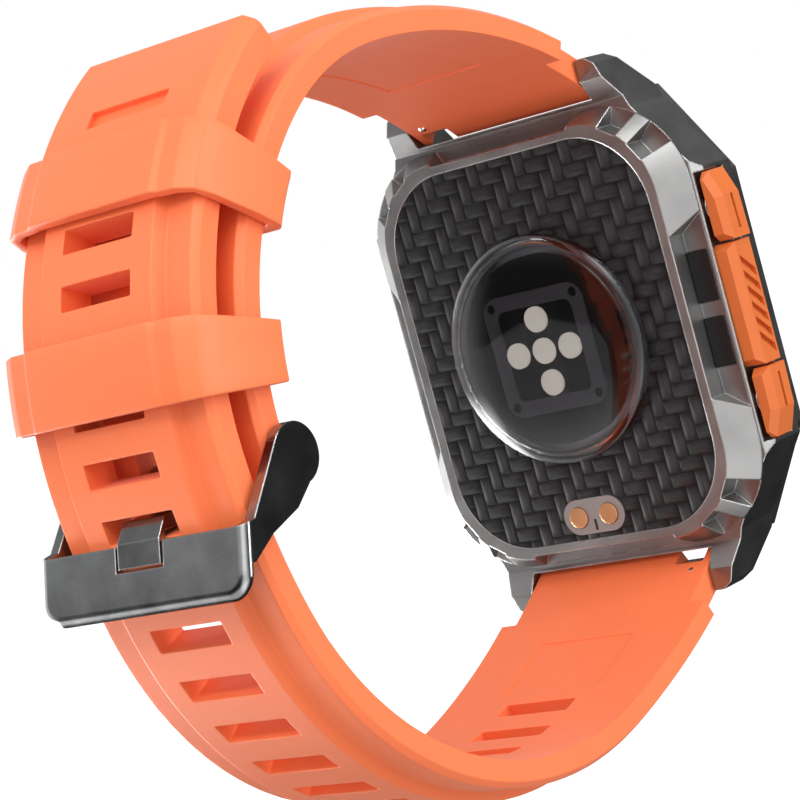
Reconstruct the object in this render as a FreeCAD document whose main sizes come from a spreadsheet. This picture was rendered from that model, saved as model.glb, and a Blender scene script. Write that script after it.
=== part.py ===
import FreeCAD, Part
import math
import os
from types import SimpleNamespace

import Sketcher
from FreeCAD import Placement, Rotation, Vector

# GPS running watch, buckled, in millimetres.
# +X is the 3 o'clock side, +Y points to the wrist, +Z is the 12 o'clock side.
# The origin is the centre of the sensor window's flat top, which rests on the skin,
# so depth is measured from there towards the dial, along -Y.

# Driving sizes. Plain numbers: millimetres, and degrees where the name says so.
SIZES = {
    # case outline, seen from the back
    "case_width": 44.2, "flank_half": 14.8, "body_half": 24.4, "lug_reach": 28.8,
    "lug_gap": 24.0, "lug_tip_wall": 2.0, "lug_root_wall": 4.2,
    # depth levels
    "plate_depth": 2.0, "ring_thick": 2.6, "ring_slope_run": 2.9, "ring_slope_drop": 2.4,
    "ring_inset": 0.8, "ring_corner": 10.0, "case_thick": 11.7, "bezel_thick": 2.6,
    "lug_rise": 1.6, "lug_front_drop": 4.8, "flank_bevel": 0.7,
    # walls and margins from the case's outline in to the cavity, plate, glass and screws
    "cavity_wall": 4.1, "cavity_end_wall": 3.2, "cavity_corner": 9.0,
    "plate_margin": 4.9, "plate_end_margin": 3.3, "plate_corner": 8.6, "plate_thick": 1.1,
    "plate_ledge": 1.6, "fit_gap": 0.05,
    "glass_margin": 5.5, "glass_end_margin": 4.6, "glass_corner": 5.0, "glass_thick": 1.2,
    "glass_ledge": 1.8, "gasket_thick": 0.2, "panel_thick": 0.9, "screw_radius": 1.0,
    "shank_radius": 0.5, "shank_reach": 4.6, "screw_margin": 6.5, "screw_end_margin": 4.5,
    # sensor
    "window_radius": 12.5, "window_rim": 1.1, "window_wall": 0.8, "dot_radius": 1.4,
    "dot_pitch": 3.5, "bracket_half": 6.65, "bracket_width": 1.65, "bracket_hole": 0.55,
    # charging
    "charge_offset": 18.6, "charge_half_x": 4.0, "charge_half_z": 1.95, "contact_pitch": 4.0,
    "contact_radius": 1.15,
    # flank bar
    "bar_half_z": 14.2, "bar_top": 5.0, "bar_width": 4.4, "bar_proud": 1.8, "bar_seat": 0.9,
    "middle_half": 6.5, "button_gap": 0.3, "side_gap": 0.15, "button_travel": 0.5,
    "stem_radius": 1.0, "stem_reach": 5.1, "running_gap": 0.05, "middle_proud": 1.5,
    "right_proud": 0.05, "heel_gap": 0.15, "spring_seat": 1.8, "spring_depth": 1.4,
    "seal_seat": 1.75, "seal_depth": 0.9,
    # strap
    "bar_axis_depth": 5.9, "bar_axis_z": 26.6, "strap_thick": 3.8, "shoulder_drop": 1.1,
    "band_half": 8.0, "tab_gap": 0.3, "shoulder_reach": 1.7, "long_end_half": 11.6,
    "short_end_half": 11.7, "layer_gap": 1.4, "slot_pitch": 5.25, "slot_length": 9.1,
    "slot_width": 2.2, "slot_lead": 2.3, "slots_before": 12, "slots_after": 5,
    "tail_slot_pitch": 5.0, "tip_reach_full": 13.5, "tip_recess_lead": 8.2, "pin_hub_radius": 2.5,
    # strap line: a first arc from each lug, then two arcs to the buckle pin
    "pin_depth": 57.0, "pin_z": 0.7, "pin_radius": 0.75, "pin_heading": -94.9,
    "short_heading": 36.4, "short_radius": 51.4, "short_sweep": -40.4, "short_share": 2.6,
    "long_heading": -32.2, "long_radius": 81.0, "long_sweep": 17.5, "long_share": 0.2,
    "tail_angle": 61.0,
    # keepers and buckle
    "keeper_width": 7.3, "keeper_wall": 1.3, "keeper_gap": 0.3, "upper_keeper_angle": 36.1,
    "lower_keeper_angle": 10.7, "arm_gap": 0.35, "arm_thick": 1.15, "pin_end": 0.5,
    "tongue_half": 2.7, "lobe_radius": 2.9, "lobe_shift": -1.4, "buckle_gap": 0.4,
    "bar_corner": 2.4,
    # spring bars
    "tube_radius": 0.9, "tube_wall": 0.35, "tip_radius": 0.4, "tip_reach": 1.2, "knob_travel": 1.6,
    "knob_inset": 2.3, "knob_radius": 0.45,
}

os.makedirs("parts", exist_ok=True)
doc = FreeCAD.newDocument("RunningWatch")
sheet = doc.addObject("Spreadsheet::Sheet", "Sizes")
for row, (alias, number) in enumerate(SIZES.items(), 1):
    sheet.set(f"A{row}", alias)
    sheet.set(f"B{row}", str(number))
    sheet.setAlias(f"B{row}", alias)
doc.recompute()


class Size(float):
    """A length from the sheet that keeps its formula, so sums of sizes stay bound to it."""

    def __new__(cls, number, formula):
        size = super().__new__(cls, number)
        size.formula = formula
        return size

    def _join(self, other, sign, number):
        other_formula = getattr(other, "formula", repr(float(other)))
        return Size(number, f"({self.formula} {sign} {other_formula})")

    def __add__(self, other):
        return self._join(other, "+", float(self) + float(other))

    def __sub__(self, other):
        return self._join(other, "-", float(self) - float(other))

    def __mul__(self, other):
        return self._join(other, "*", float(self) * float(other))

    def __truediv__(self, other):
        return self._join(other, "/", float(self) / float(other))

    def __neg__(self):
        return Size(-float(self), f"(-1 * {self.formula})")


S = SimpleNamespace(**{alias: Size(sheet.get(alias), f"Sizes.{alias}") for alias in SIZES})
NODES = {}


def bind(thing, prop, size):
    """Tie a property to the sheet, or hold it at a plain number."""
    thing.setExpression(prop, getattr(size, "formula", repr(float(size))))


# --- PartDesign helpers -------------------------------------------------------------

def new_body(label):
    body = doc.addObject("PartDesign::Body", label)
    body.Label = label
    NODES[label] = body
    return body


def new_sketch(body, name, role="XZ_Plane", depth=None):
    """A sketch on one of the body's own planes; on XZ_Plane, depth runs towards the dial."""
    sketch = body.newObject("Sketcher::SketchObject", name)
    plane = next(f for f in body.Origin.OriginFeatures if f.Role == role)
    sketch.AttachmentSupport = [(plane, "")]
    sketch.MapMode = "FlatFace"
    if depth is not None:
        bind(sketch, ".AttachmentOffset.Base.z", depth)
    return sketch


def hold_point(sketch, geometry, end, x, y):
    """Fix a point of the sketch at bound distances from its origin."""
    for kind, size in (("DistanceX", x), ("DistanceY", y)):
        number = sketch.addConstraint(
            Sketcher.Constraint(kind, -1, 1, geometry, end, float(size)))
        if hasattr(size, "formula"):
            sketch.setExpression(f"Constraints[{number}]", size.formula)


def polygon(sketch, corners):
    """A closed outline through corners given as pairs of sizes."""
    first = sketch.GeometryCount
    count = len(corners)
    for start, end in zip(corners, corners[1:] + corners[:1]):
        sketch.addGeometry(Part.LineSegment(
            Vector(float(start[0]), float(start[1])), Vector(float(end[0]), float(end[1]))))
    for i in range(count):
        sketch.addConstraint(Sketcher.Constraint(
            "Coincident", first + i, 2, first + (i + 1) % count, 1))
    for i, (x, y) in enumerate(corners):
        hold_point(sketch, first + i, 1, x, y)


def disc(sketch, x, y, radius):
    number = sketch.addGeometry(Part.Circle(
        Vector(float(x), float(y)), Vector(0, 0, 1), float(radius)))
    rule = sketch.addConstraint(Sketcher.Constraint("Radius", number, float(radius)))
    sketch.setExpression(f"Constraints[{rule}]", radius.formula)
    if abs(x) < 1e-9 and abs(y) < 1e-9:
        sketch.addConstraint(Sketcher.Constraint("Coincident", number, 3, -1, 1))
        return
    for kind, size, axis in (("DistanceX", x, -2), ("DistanceY", y, -1)):
        if abs(size) < 1e-9:
            sketch.addConstraint(Sketcher.Constraint("PointOnObject", number, 3, axis))
            continue
        rule = sketch.addConstraint(
            Sketcher.Constraint(kind, -1, 1, number, 3, float(size)))
        if hasattr(size, "formula"):
            sketch.setExpression(f"Constraints[{rule}]", size.formula)


def rounded_box(sketch, half_x, half_y, corner, middle_y=0.0):
    """A rectangle with round corners, centred on the sketch's vertical axis."""
    a, b, r, m = float(half_x), float(half_y), float(corner), float(middle_y)
    first = sketch.GeometryCount
    sides = [((-a + r, m - b), (a - r, m - b)), ((a, m - b + r), (a, m + b - r)),
             ((a - r, m + b), (-a + r, m + b)), ((-a, m + b - r), (-a, m - b + r))]
    centres = [(a - r, m - b + r), (a - r, m + b - r), (-a + r, m + b - r), (-a + r, m - b + r)]
    for i in range(4):
        start, end = sides[i]
        sketch.addGeometry(Part.LineSegment(Vector(*start), Vector(*end)))
        turn = -math.pi / 2 + i * math.pi / 2
        ring = Part.Circle(Vector(*centres[i]), Vector(0, 0, 1), r)
        sketch.addGeometry(Part.ArcOfCircle(ring, turn, turn + math.pi / 2))
    for i in range(4):
        line, arc, following = first + 2 * i, first + 2 * i + 1, first + (2 * i + 2) % 8
        sketch.addConstraint(Sketcher.Constraint("Tangent", line, 2, arc, 1))
        sketch.addConstraint(Sketcher.Constraint("Tangent", arc, 2, following, 1))
        sketch.addConstraint(Sketcher.Constraint(
            "Horizontal" if i % 2 == 0 else "Vertical", line))
        if i:
            sketch.addConstraint(Sketcher.Constraint("Equal", first + 1, arc))
    rule = sketch.addConstraint(Sketcher.Constraint("Radius", first + 1, r))
    sketch.setExpression(f"Constraints[{rule}]", corner.formula)
    limits = [("DistanceY", 0, half_y, -1), ("DistanceX", 2, half_x, 1),
              ("DistanceY", 4, half_y, 1), ("DistanceX", 6, half_x, -1)]
    for kind, line, half, sign in limits:
        size = half if sign > 0 else -half
        if kind == "DistanceY" and hasattr(middle_y, "formula"):
            size = middle_y + half if sign > 0 else middle_y - half
        rule = sketch.addConstraint(
            Sketcher.Constraint(kind, -1, 1, first + line, 1, float(size)))
        sketch.setExpression(f"Constraints[{rule}]", size.formula)


def pad(body, sketch, length, reversed_way=False, both_ways=False):
    feature = body.newObject("PartDesign::Pad", sketch.Name + "Pad")
    feature.Profile = sketch
    bind(feature, "Length", length)
    feature.Reversed = reversed_way
    feature.Midplane = both_ways
    doc.recompute()
    return feature


def pocket(body, sketch, length, reversed_way=False, both_ways=False):
    """Cut a sketch into the body, and make sure that it removed material."""
    before = body.Shape.Volume
    feature = body.newObject("PartDesign::Pocket", sketch.Name + "Pocket")
    feature.Profile = sketch
    bind(feature, "Length", length)
    feature.Reversed = reversed_way
    feature.Midplane = both_ways
    doc.recompute()
    if body.Shape.Volume > before - 1e-3:
        raise RuntimeError(f"{body.Label}: {sketch.Name} cuts nothing")
    return feature


def dress(body, kind, size, picks, name):
    """A fillet or chamfer on the edges that the test picks from the body's last shape."""
    base = body.Tip
    edges = [f"Edge{i}" for i, edge in enumerate(base.Shape.Edges, 1) if picks(edge)]
    feature = body.newObject("PartDesign::" + kind, name)
    feature.Base = (base, edges)
    bind(feature, "Radius" if kind == "Fillet" else "Size", size)
    doc.recompute()
    return feature


def revolved(body, name, profile):
    """Turn a closed radius-and-depth outline about the Y axis."""
    sketch = new_sketch(body, name, "XY_Plane")
    polygon(sketch, profile)
    feature = body.newObject("PartDesign::Revolution", name + "Turn")
    feature.Profile = sketch
    feature.ReferenceAxis = (sketch, ["V_Axis"])
    feature.Angle = 360
    doc.recompute()
    return feature


def radians(degrees):
    return math.radians(float(degrees))


def along_y(edge):
    """True for a straight edge that runs through the case's depth."""
    ends = [v.Point for v in edge.Vertexes]
    return len(ends) == 2 and abs(ends[0].x - ends[1].x) < 1e-6 \
        and abs(ends[0].z - ends[1].z) < 1e-6


# --- Part helpers ---------------------------------------------------------------------

def feature(label, shape):
    """A sub-part whose shape is made directly from the sizes."""
    thing = doc.addObject("Part::Feature", label)
    thing.Label = label
    thing.Shape = shape.removeSplitter() if len(shape.Solids) == 1 else shape
    NODES[label] = thing
    return thing


def block(low, high):
    """A box between two opposite corners."""
    sides = [h - l for l, h in zip(low, high)]
    return Part.makeBox(*sides, Vector(*low))


def rod(radius, start, end):
    """A round bar along X, Y or Z between two points."""
    line = Vector(*end) - Vector(*start)
    return Part.makeCylinder(radius, line.Length, Vector(*start), line)


def tube(outer, inner, start, end):
    return rod(outer, start, end).cut(rod(inner, start, end))


def joined(shapes):
    return shapes[0].multiFuse(shapes[1:]) if len(shapes) > 1 else shapes[0]


def prism_x(points, x0, x1):
    """A closed (y, z) outline pushed along X from x0 to x1."""
    wire = Part.makePolygon([Vector(x0, y, z) for y, z in points + points[:1]])
    return Part.Face(wire).extrude(Vector(x1 - x0, 0, 0))


def coil(radius, wire, length, turns, start, direction, spine=Part.makeHelix):
    """A round-wire compression spring with its axis along the direction."""
    helix = spine(length / turns, length, radius)
    ring = Part.Wire(Part.Circle(Vector(radius, 0, 0), Vector(0, 1, 0), wire).toShape())
    spring = Part.Wire(helix.Edges).makePipeShell([ring], True, True)
    spring.Placement = Placement(Vector(*start), Rotation(Vector(0, 0, 1), Vector(*direction)))
    return spring


def slab(label, depth, thick, draw):
    """A flat piece: one outline padded from a depth towards the dial."""
    body = new_body(label)
    body.AllowCompound = True
    sketch = new_sketch(body, label + "_outline", depth=depth)
    draw(sketch)
    pad(body, sketch, thick)
    return body


def cut_through(body, name, depth, thick, draw):
    """Cut an outline from a depth towards the dial."""
    sketch = new_sketch(body, name, depth=depth)
    draw(sketch)
    return pocket(body, sketch, thick, reversed_way=True)


# --- Levels and places worked out from the driving sizes ---------------------------------

half_width = S.case_width / 2
ring_base = S.plate_depth + S.ring_thick
case_front = S.plate_depth + S.case_thick - S.bezel_thick
dial_face = S.plate_depth + S.case_thick
glass_back = dial_face - S.glass_thick
panel_front = glass_back - S.gasket_thick
bar_middle = S.bar_top + S.bar_width / 2
bar_bottom = S.bar_top + S.bar_width
button_z = (S.bar_half_z + S.middle_half) / 2
seat_floor = half_width - S.bar_seat
plate_foot = S.plate_depth + S.plate_thick
cavity_half_x, cavity_half_z = half_width - S.cavity_wall, S.body_half - S.cavity_end_wall
plate_half_x, plate_half_z = half_width - S.plate_margin, S.body_half - S.plate_end_margin
glass_half_x, glass_half_z = half_width - S.glass_margin, S.body_half - S.glass_end_margin
screw_x, screw_z = half_width - S.screw_margin, S.body_half - S.screw_end_margin
speaker_x = half_width - 2.5
speaker_half = 1.2
speaker_spans = [(1.1, 6.5), (-5.8, -0.6)]
gap_half = S.lug_gap / 2
lug_tip_half = gap_half + S.lug_tip_wall
lug_root_half = gap_half + S.lug_root_wall
tab_half = gap_half - S.tab_gap
strap_half = gap_half + S.shoulder_reach
knob_x = gap_half - S.knob_inset
hub_radius = S.strap_thick / 2
arm_inside = max(S.short_end_half, S.long_end_half) + S.arm_gap
buckle_half = arm_inside + S.arm_thick


def all_round(quarter):
    """A closed outline with four like quarters, from the corners of one quarter."""
    upper = quarter + [(-x, z) for x, z in reversed(quarter)]
    return upper + [(-x, -z) for x, z in upper]


# --- Case ------------------------------------------------------------------------------

def make_mid_frame():
    """Blasted metal frame with four lugs, a cavity, and a seat for the bar on each flank."""
    body = new_body("mid_frame")
    lug_back = ring_base - S.lug_rise
    outline = new_sketch(body, "CaseOutline", depth=lug_back)
    polygon(outline, all_round([(half_width, S.flank_half),
                                (lug_root_half, S.body_half - S.lug_rise),
                                (lug_tip_half, S.lug_reach)]))
    pad(body, outline, case_front - lug_back)
    # the wrist side drops from the lug tips to the ring's seat
    trough = new_sketch(body, "RingTrough", "YZ_Plane")
    inner = S.body_half - 0.4
    outer = S.body_half + 2.0
    polygon(trough, [(-lug_back + 1, -outer), (-lug_back + 1, outer), (-lug_back, outer),
                     (-ring_base, inner), (-ring_base, -inner), (-lug_back, -outer)])
    pocket(body, trough, S.case_width * 2, both_ways=True)
    # the dial side slopes down to the lug tips, and the strap's gap is cut between the lugs
    for name, sign in (("Upper", 1), ("Lower", -1)):
        root = S.body_half * sign
        tip = (S.lug_reach + 0.5) * sign
        slope = new_sketch(body, name + "Slope", "YZ_Plane")
        polygon(slope, [(-case_front - 1, root), (-case_front, root),
                        (-case_front + S.lug_front_drop, tip), (-case_front - 1, tip)])
        pocket(body, slope, S.case_width * 2, both_ways=True)
        cut_through(body, name + "Gap", S.running_gap, dial_face, lambda sketch: polygon(
            sketch, [(-gap_half, root), (gap_half, root), (gap_half, tip), (-gap_half, tip)]))
    cut_through(body, "Cavity", S.running_gap, dial_face, lambda sketch: rounded_box(
        sketch, cavity_half_x, cavity_half_z, S.cavity_corner))
    dress(body, "Chamfer", S.lug_rise / 2, lambda edge: along_y(edge)
          and abs(abs(edge.CenterOfMass.x) - lug_tip_half) < 0.05
          and abs(edge.CenterOfMass.z) > S.body_half, "LugCorners")
    # the flanks' wrist-side edges are bevelled down from the ring
    for name, side in (("LeftBevel", -1), ("RightBevel", 1)):
        bevel = new_sketch(body, name, "XY_Plane")
        edge = half_width - S.flank_bevel
        polygon(bevel, [(edge * side, -ring_base), (edge * side, -lug_back + 1),
                        ((half_width + 1) * side, -lug_back + 1),
                        ((half_width + 1) * side, -ring_base - S.flank_bevel * 4),
                        (half_width * side, -ring_base - S.flank_bevel * 2)])
        pocket(body, bevel, S.flank_half * 4, both_ways=True)
    low = -S.bar_top + S.side_gap
    high = -bar_bottom - S.side_gap
    for name, side in (("LeftSeat", -1), ("RightSeat", 1)):
        seat = new_sketch(body, name, "XY_Plane")
        floor = seat_floor * side
        outside = (half_width + 1) * side
        polygon(seat, [(floor, high), (outside, high), (outside, low), (floor, low)])
        pocket(body, seat, (S.bar_half_z + S.side_gap) * 2, both_ways=True)
    # stem bores with a spring seat outside and a seal seat inside
    steps = [("StemBore", S.stem_radius + S.running_gap, cavity_half_x - 1, half_width),
             ("SpringSeat", S.spring_seat, seat_floor - S.spring_depth, half_width),
             ("SealSeat", S.seal_seat, cavity_half_x - 1, cavity_half_x + S.seal_depth)]
    for name, radius, start, end in steps:
        bores = new_sketch(body, name, "YZ_Plane", depth=-end)
        for sign in (-1, 1):
            disc(bores, -bar_middle, button_z * sign, radius)
        pocket(body, bores, end - start, reversed_way=True)
    lugs = new_sketch(body, "BarBores", "YZ_Plane")
    for sign in (-1, 1):
        disc(lugs, -S.bar_axis_depth, S.bar_axis_z * sign, S.tip_radius + S.running_gap)
    pocket(body, lugs, S.lug_gap + S.tip_reach * 2 + 0.4, both_ways=True)
    # sound channels from the speaker openings to the cavity, and the screw holes
    for number, (start, end) in enumerate(speaker_spans):
        cut_through(body, f"SoundChannel{number}", ring_base - S.running_gap, 1.3,
                    lambda sketch: polygon(sketch, [
                        (-seat_floor + 0.6, start), (-cavity_half_x + 0.5, start),
                        (-cavity_half_x + 0.5, end), (-seat_floor + 0.6, end)]))
    holes = new_sketch(body, "ScrewHoles", depth=case_front - S.shank_reach)
    screw_pattern(holes, S.shank_radius + S.running_gap)
    pocket(body, holes, S.shank_reach + 1, reversed_way=True)


def screw_pattern(sketch, radius):
    for side in (-1, 1):
        for end in (-1, 1):
            disc(sketch, screw_x * side, screw_z * end, radius)


def make_back_ring():
    """Sloping metal ring around the back plate, notched, with the two speaker openings."""
    body = new_body("back_ring")
    half_x, half_z = half_width - S.ring_inset, S.body_half - S.ring_inset
    slope_foot = S.plate_depth + S.ring_slope_drop
    run = S.ring_slope_run
    top = new_sketch(body, "RingTop", depth=S.plate_depth)
    rounded_box(top, half_x - run, half_z - run * 0.4, S.ring_corner * 0.9)
    foot = new_sketch(body, "RingFoot", depth=slope_foot)
    rounded_box(foot, half_x, half_z, S.ring_corner)
    loft = body.newObject("PartDesign::AdditiveLoft", "RingSlope")
    loft.Profile = top
    loft.Sections = [foot]
    loft.Ruled = True
    doc.recompute()
    base = new_sketch(body, "RingBase", depth=slope_foot)
    rounded_box(base, half_x, half_z, S.ring_corner)
    pad(body, base, S.ring_thick - S.ring_slope_drop)
    above = S.plate_depth - 0.1
    cut_through(body, "PlateSeat", above, S.plate_thick + 0.1, lambda sketch: rounded_box(
        sketch, plate_half_x + S.fit_gap, plate_half_z + S.fit_gap,
        S.plate_corner + S.fit_gap))
    cut_through(body, "RingOpening", above, S.ring_thick + 0.2, lambda sketch: rounded_box(
        sketch, plate_half_x - S.plate_ledge, plate_half_z - S.plate_ledge,
        S.plate_corner - S.plate_ledge))
    # a shallow trapezoid recess along each side of the slope, and two round each corner
    inner_x, outer_x = plate_half_x + 1.2, half_width + 0.5
    inner_z, outer_z = plate_half_z + 1.0, S.body_half + 1
    turn_x, turn_z = plate_half_x - 7.7, plate_half_z - 7.9
    notches = []
    for side in (-1, 1):
        notches.append([(inner_x * side, -8.6), (inner_x * side, 8.6),
                        (outer_x * side, 11.4), (outer_x * side, -11.4)])
        notches.append([(-9.3, inner_z * side), (9.3, inner_z * side),
                        (10.9, outer_z * side), (-10.9, outer_z * side)])
        for end in (-1, 1):
            for degrees in (33, 58):
                out = (math.cos(radians(degrees)), math.sin(radians(degrees)))
                corners = ((8.9, -1.15), (8.9, 1.15), (13.0, 1.9), (13.0, -1.9))
                notches.append([((turn_x + reach * out[0] - across * out[1]) * side,
                                 (turn_z + reach * out[1] + across * out[0]) * end)
                                for reach, across in corners])
    cut_through(body, "RingNotches", above, S.ring_slope_drop + 0.25,
                lambda sketch: [polygon(sketch, notch) for notch in notches])
    cut_through(body, "SpeakerOpenings", above, S.ring_thick + 0.2, lambda sketch: [
        polygon(sketch, [(-speaker_x - speaker_half, low), (-speaker_x + speaker_half, low),
                         (-speaker_x + speaker_half, high), (-speaker_x - speaker_half, high)])
        for low, high in speaker_spans])


def make_back():
    """Carbon plate, sensor window and what lies under it, and the charging pad."""
    plate = slab("back_plate", S.plate_depth, S.plate_thick, lambda sketch: (
        rounded_box(sketch, plate_half_x, plate_half_z, S.plate_corner),
        disc(sketch, 0, 0, S.window_radius + S.fit_gap)))
    cut_through(plate, "ChargingSlot", S.plate_depth - 0.1, S.plate_thick + 0.2,
                lambda sketch: rounded_box(
                    sketch, S.charge_half_x + S.fit_gap, S.charge_half_z + S.fit_gap,
                    S.charge_half_z, -S.charge_offset))
    rim, wall, radius = S.window_rim, S.window_wall, S.window_radius
    revolved(new_body("sensor_window"), "WindowSection", [
        (radius, -plate_foot), (radius, -rim), (radius - rim * 0.3, -rim * 0.4),
        (radius - rim * 1.2, -rim * 0.1), (radius - rim * 2, 0.0), (0.0, 0.0),
        (0.0, -wall), (radius - rim * 2.2, -wall), (radius - wall * 1.6, -plate_foot)])
    carrier_back = wall + 0.55
    carrier_radius = radius - wall * 1.6 - 0.9
    slab("sensor_carrier", carrier_back, S.plate_depth, lambda sketch: disc(
        sketch, 0, 0, carrier_radius))
    lens_spots = [(0, 0), (1, 0), (-1, 0), (0, 1), (0, -1)]
    slab("sensor_lenses", wall + 0.15, carrier_back - wall - 0.15, lambda sketch: [
        disc(sketch, S.dot_pitch * x, S.dot_pitch * z, S.dot_radius) for x, z in lens_spots])
    inner = S.bracket_half - S.bracket_width
    bracket = slab("sensor_bracket", wall + 0.3, carrier_back - wall - 0.3,
                   lambda sketch: (rounded_box(sketch, S.bracket_half, S.bracket_half,
                                               S.bracket_width * 1.2),
                                   rounded_box(sketch, inner, inner, S.bracket_width * 0.6)))
    spot = S.bracket_half - S.bracket_width / 2 - 0.3
    cut_through(bracket, "BracketHoles", wall, S.plate_depth, lambda sketch: [
        disc(sketch, spot * x, spot * z, S.bracket_hole) for x in (-1, 1) for z in (-1, 1)])
    pad_piece = slab("charging_pad", S.plate_depth - 0.1, S.plate_thick + 0.1,
                     lambda sketch: rounded_box(sketch, S.charge_half_x, S.charge_half_z,
                                                S.charge_half_z - 0.01, -S.charge_offset))
    half_pitch = S.contact_pitch / 2
    cut_through(pad_piece, "ContactHoles", 0.1, S.plate_depth * 4, lambda sketch: [
        disc(sketch, half_pitch * x, -S.charge_offset, S.contact_radius + S.fit_gap)
        for x in (-1, 1)])
    contacts = slab("charging_contacts", S.plate_depth - 0.25, S.plate_thick + 0.25,
                    lambda sketch: [disc(sketch, half_pitch * x, -S.charge_offset,
                                         S.contact_radius) for x in (-1, 1)])
    feet = new_sketch(contacts, "ContactFeet", depth=plate_foot)
    for x in (-1, 1):
        disc(feet, half_pitch * x, -S.charge_offset, S.contact_radius / 3)
    pad(contacts, feet, S.ring_thick - S.plate_thick + 0.6)
    edge_x, edge_z = cavity_half_x - S.fit_gap, cavity_half_z - S.fit_gap
    slab("back_seal", ring_base, 0.8, lambda sketch: (
        rounded_box(sketch, edge_x, edge_z, S.cavity_corner - S.fit_gap),
        rounded_box(sketch, edge_x - 1, edge_z - 1, S.cavity_corner - 1)))
    mesh_half = speaker_half - S.fit_gap
    slab("speaker_mesh", ring_base - 0.2, 0.2, lambda sketch: [
        polygon(sketch, [(-speaker_x - mesh_half, low + S.fit_gap),
                         (-speaker_x + mesh_half, low + S.fit_gap),
                         (-speaker_x + mesh_half, high - S.fit_gap),
                         (-speaker_x - mesh_half, high - S.fit_gap)])
        for low, high in speaker_spans])


def make_front():
    """Bezel with its screws, the glass in its seat, the gasket and the display panel."""
    bezel = new_body("bezel")
    outline = new_sketch(bezel, "BezelOutline", depth=case_front)
    polygon(outline, all_round([(half_width - 0.2, S.flank_half - 1),
                                (gap_half + 3.2, S.body_half - 0.1)]))
    pad(bezel, outline, S.bezel_thick)
    front = -dial_face
    dress(bezel, "Chamfer", S.bezel_thick / 2, lambda edge: edge.BoundBox.YMax < front + 1e-6,
          "BezelSlope")
    ledge = S.glass_ledge
    cut_through(bezel, "PanelOpening", case_front - 0.1, S.bezel_thick + 1,
                lambda sketch: rounded_box(sketch, glass_half_x - ledge,
                                           glass_half_z - ledge, S.glass_corner - ledge))
    cut_through(bezel, "GlassSeat", panel_front, S.bezel_thick, lambda sketch: rounded_box(
        sketch, glass_half_x + S.fit_gap, glass_half_z + S.fit_gap,
        S.glass_corner + S.fit_gap))
    cut_through(bezel, "HeadSeats", dial_face - S.bezel_thick * 0.6, S.bezel_thick,
                lambda sketch: screw_pattern(sketch, S.screw_radius + S.fit_gap))
    cut_through(bezel, "ShankHoles", case_front - 0.1, S.bezel_thick,
                lambda sketch: screw_pattern(sketch, S.shank_radius + S.fit_gap))
    screws = slab("bezel_screws", dial_face - S.bezel_thick * 0.6, S.bezel_thick * 0.6 - 0.15,
                  lambda sketch: screw_pattern(sketch, S.screw_radius))
    shanks = new_sketch(screws, "Shanks", depth=case_front - S.shank_reach + 0.3)
    screw_pattern(shanks, S.shank_radius)
    pad(screws, shanks, S.shank_reach + S.bezel_thick * 0.4 + 0.1)
    half_key = S.screw_radius * 0.5
    cut_through(screws, "KeySlots", dial_face - 0.6, 1, lambda sketch: [
        disc(sketch, screw_x * x, screw_z * z, half_key) for x in (-1, 1) for z in (-1, 1)])
    slab("display_gasket", panel_front, S.gasket_thick, lambda sketch: (
        rounded_box(sketch, glass_half_x - S.fit_gap, glass_half_z - S.fit_gap,
                    S.glass_corner),
        rounded_box(sketch, glass_half_x - ledge, glass_half_z - ledge,
                    S.glass_corner - ledge)))
    slab("display_glass", glass_back, S.glass_thick, lambda sketch: rounded_box(
        sketch, glass_half_x, glass_half_z, S.glass_corner))
    dress(NODES["display_glass"], "Chamfer", S.glass_thick / 3,
          lambda edge: edge.BoundBox.YMax < front + 1e-6, "GlassEdge")
    inset = ledge + S.fit_gap
    slab("display_panel", glass_back - S.panel_thick, S.panel_thick, lambda sketch: rounded_box(
        sketch, glass_half_x - inset, glass_half_z - inset, S.glass_corner - inset))


def make_inside():
    """What the case holds: chassis, board, battery, motor, sound, antenna and switches."""
    room_x, room_z = cavity_half_x - 0.2, cavity_half_z - 0.2
    chassis = slab("chassis", case_front - 0.9, 0.8, lambda sketch: rounded_box(
        sketch, room_x, room_z, S.cavity_corner - 0.2))
    cut_through(chassis, "CableWindow", case_front - 1, 2, lambda sketch: rounded_box(
        sketch, room_x / 3, room_z / 6, S.glass_corner / 4, -room_z / 2))
    board_back = case_front - 2.4
    board = slab("main_board", board_back, 0.8, lambda sketch: rounded_box(
        sketch, room_x - 2.0, room_z - 0.6, S.cavity_corner - 0.2))
    chips = new_sketch(board, "Chips", depth=board_back + 0.8)
    for left, right, low, high in ((-6, 2, 2, 10), (4, 9, 4, 9), (-8, -3, -12, -5), (3, 8, -9, -6)):
        polygon(chips, [(left, low), (right, low), (right, high), (left, high)])
    pad(board, chips, 0.6)
    inner_back = ring_base + 1.0
    inner_depth = board_back - 0.1 - inner_back

    def placed(label, left, right, low, high, start=inner_back, thick=inner_depth):
        slab(label, start, thick, lambda sketch: polygon(
            sketch, [(left, low), (right, low), (right, high), (left, high)]))

    placed("battery", -10.5, room_x - 3.0, -12.5, 15.5)
    placed("speaker", -room_x + 0.3, -11.0, -6.3, 6.8)
    placed("microphone", 2.0, 6.0, 16.5, 19.0, start=board_back - 1.2, thick=Size(1.1, "1.1"))
    placed("gps_antenna", -8.5, 0.5, room_z - 1.2, room_z - 0.4)
    slab("vibration_motor", inner_back, inner_depth, lambda sketch: disc(
        sketch, room_x / 3, -room_z + 4.2, S.dot_pitch))
    switch_face = half_width - S.stem_reach - S.button_travel - S.side_gap
    slab("button_switches", bar_middle - 1.2, 2.4, lambda sketch: [
        polygon(sketch, [(-switch_face, button_z * sign - 1.6),
                         (-switch_face + 1.4, button_z * sign - 1.6),
                         (-switch_face + 1.4, button_z * sign + 1.6),
                         (-switch_face, button_z * sign + 1.6)]) for sign in (-1, 1)])


# --- Flank bars and buttons -----------------------------------------------------------------

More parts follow.
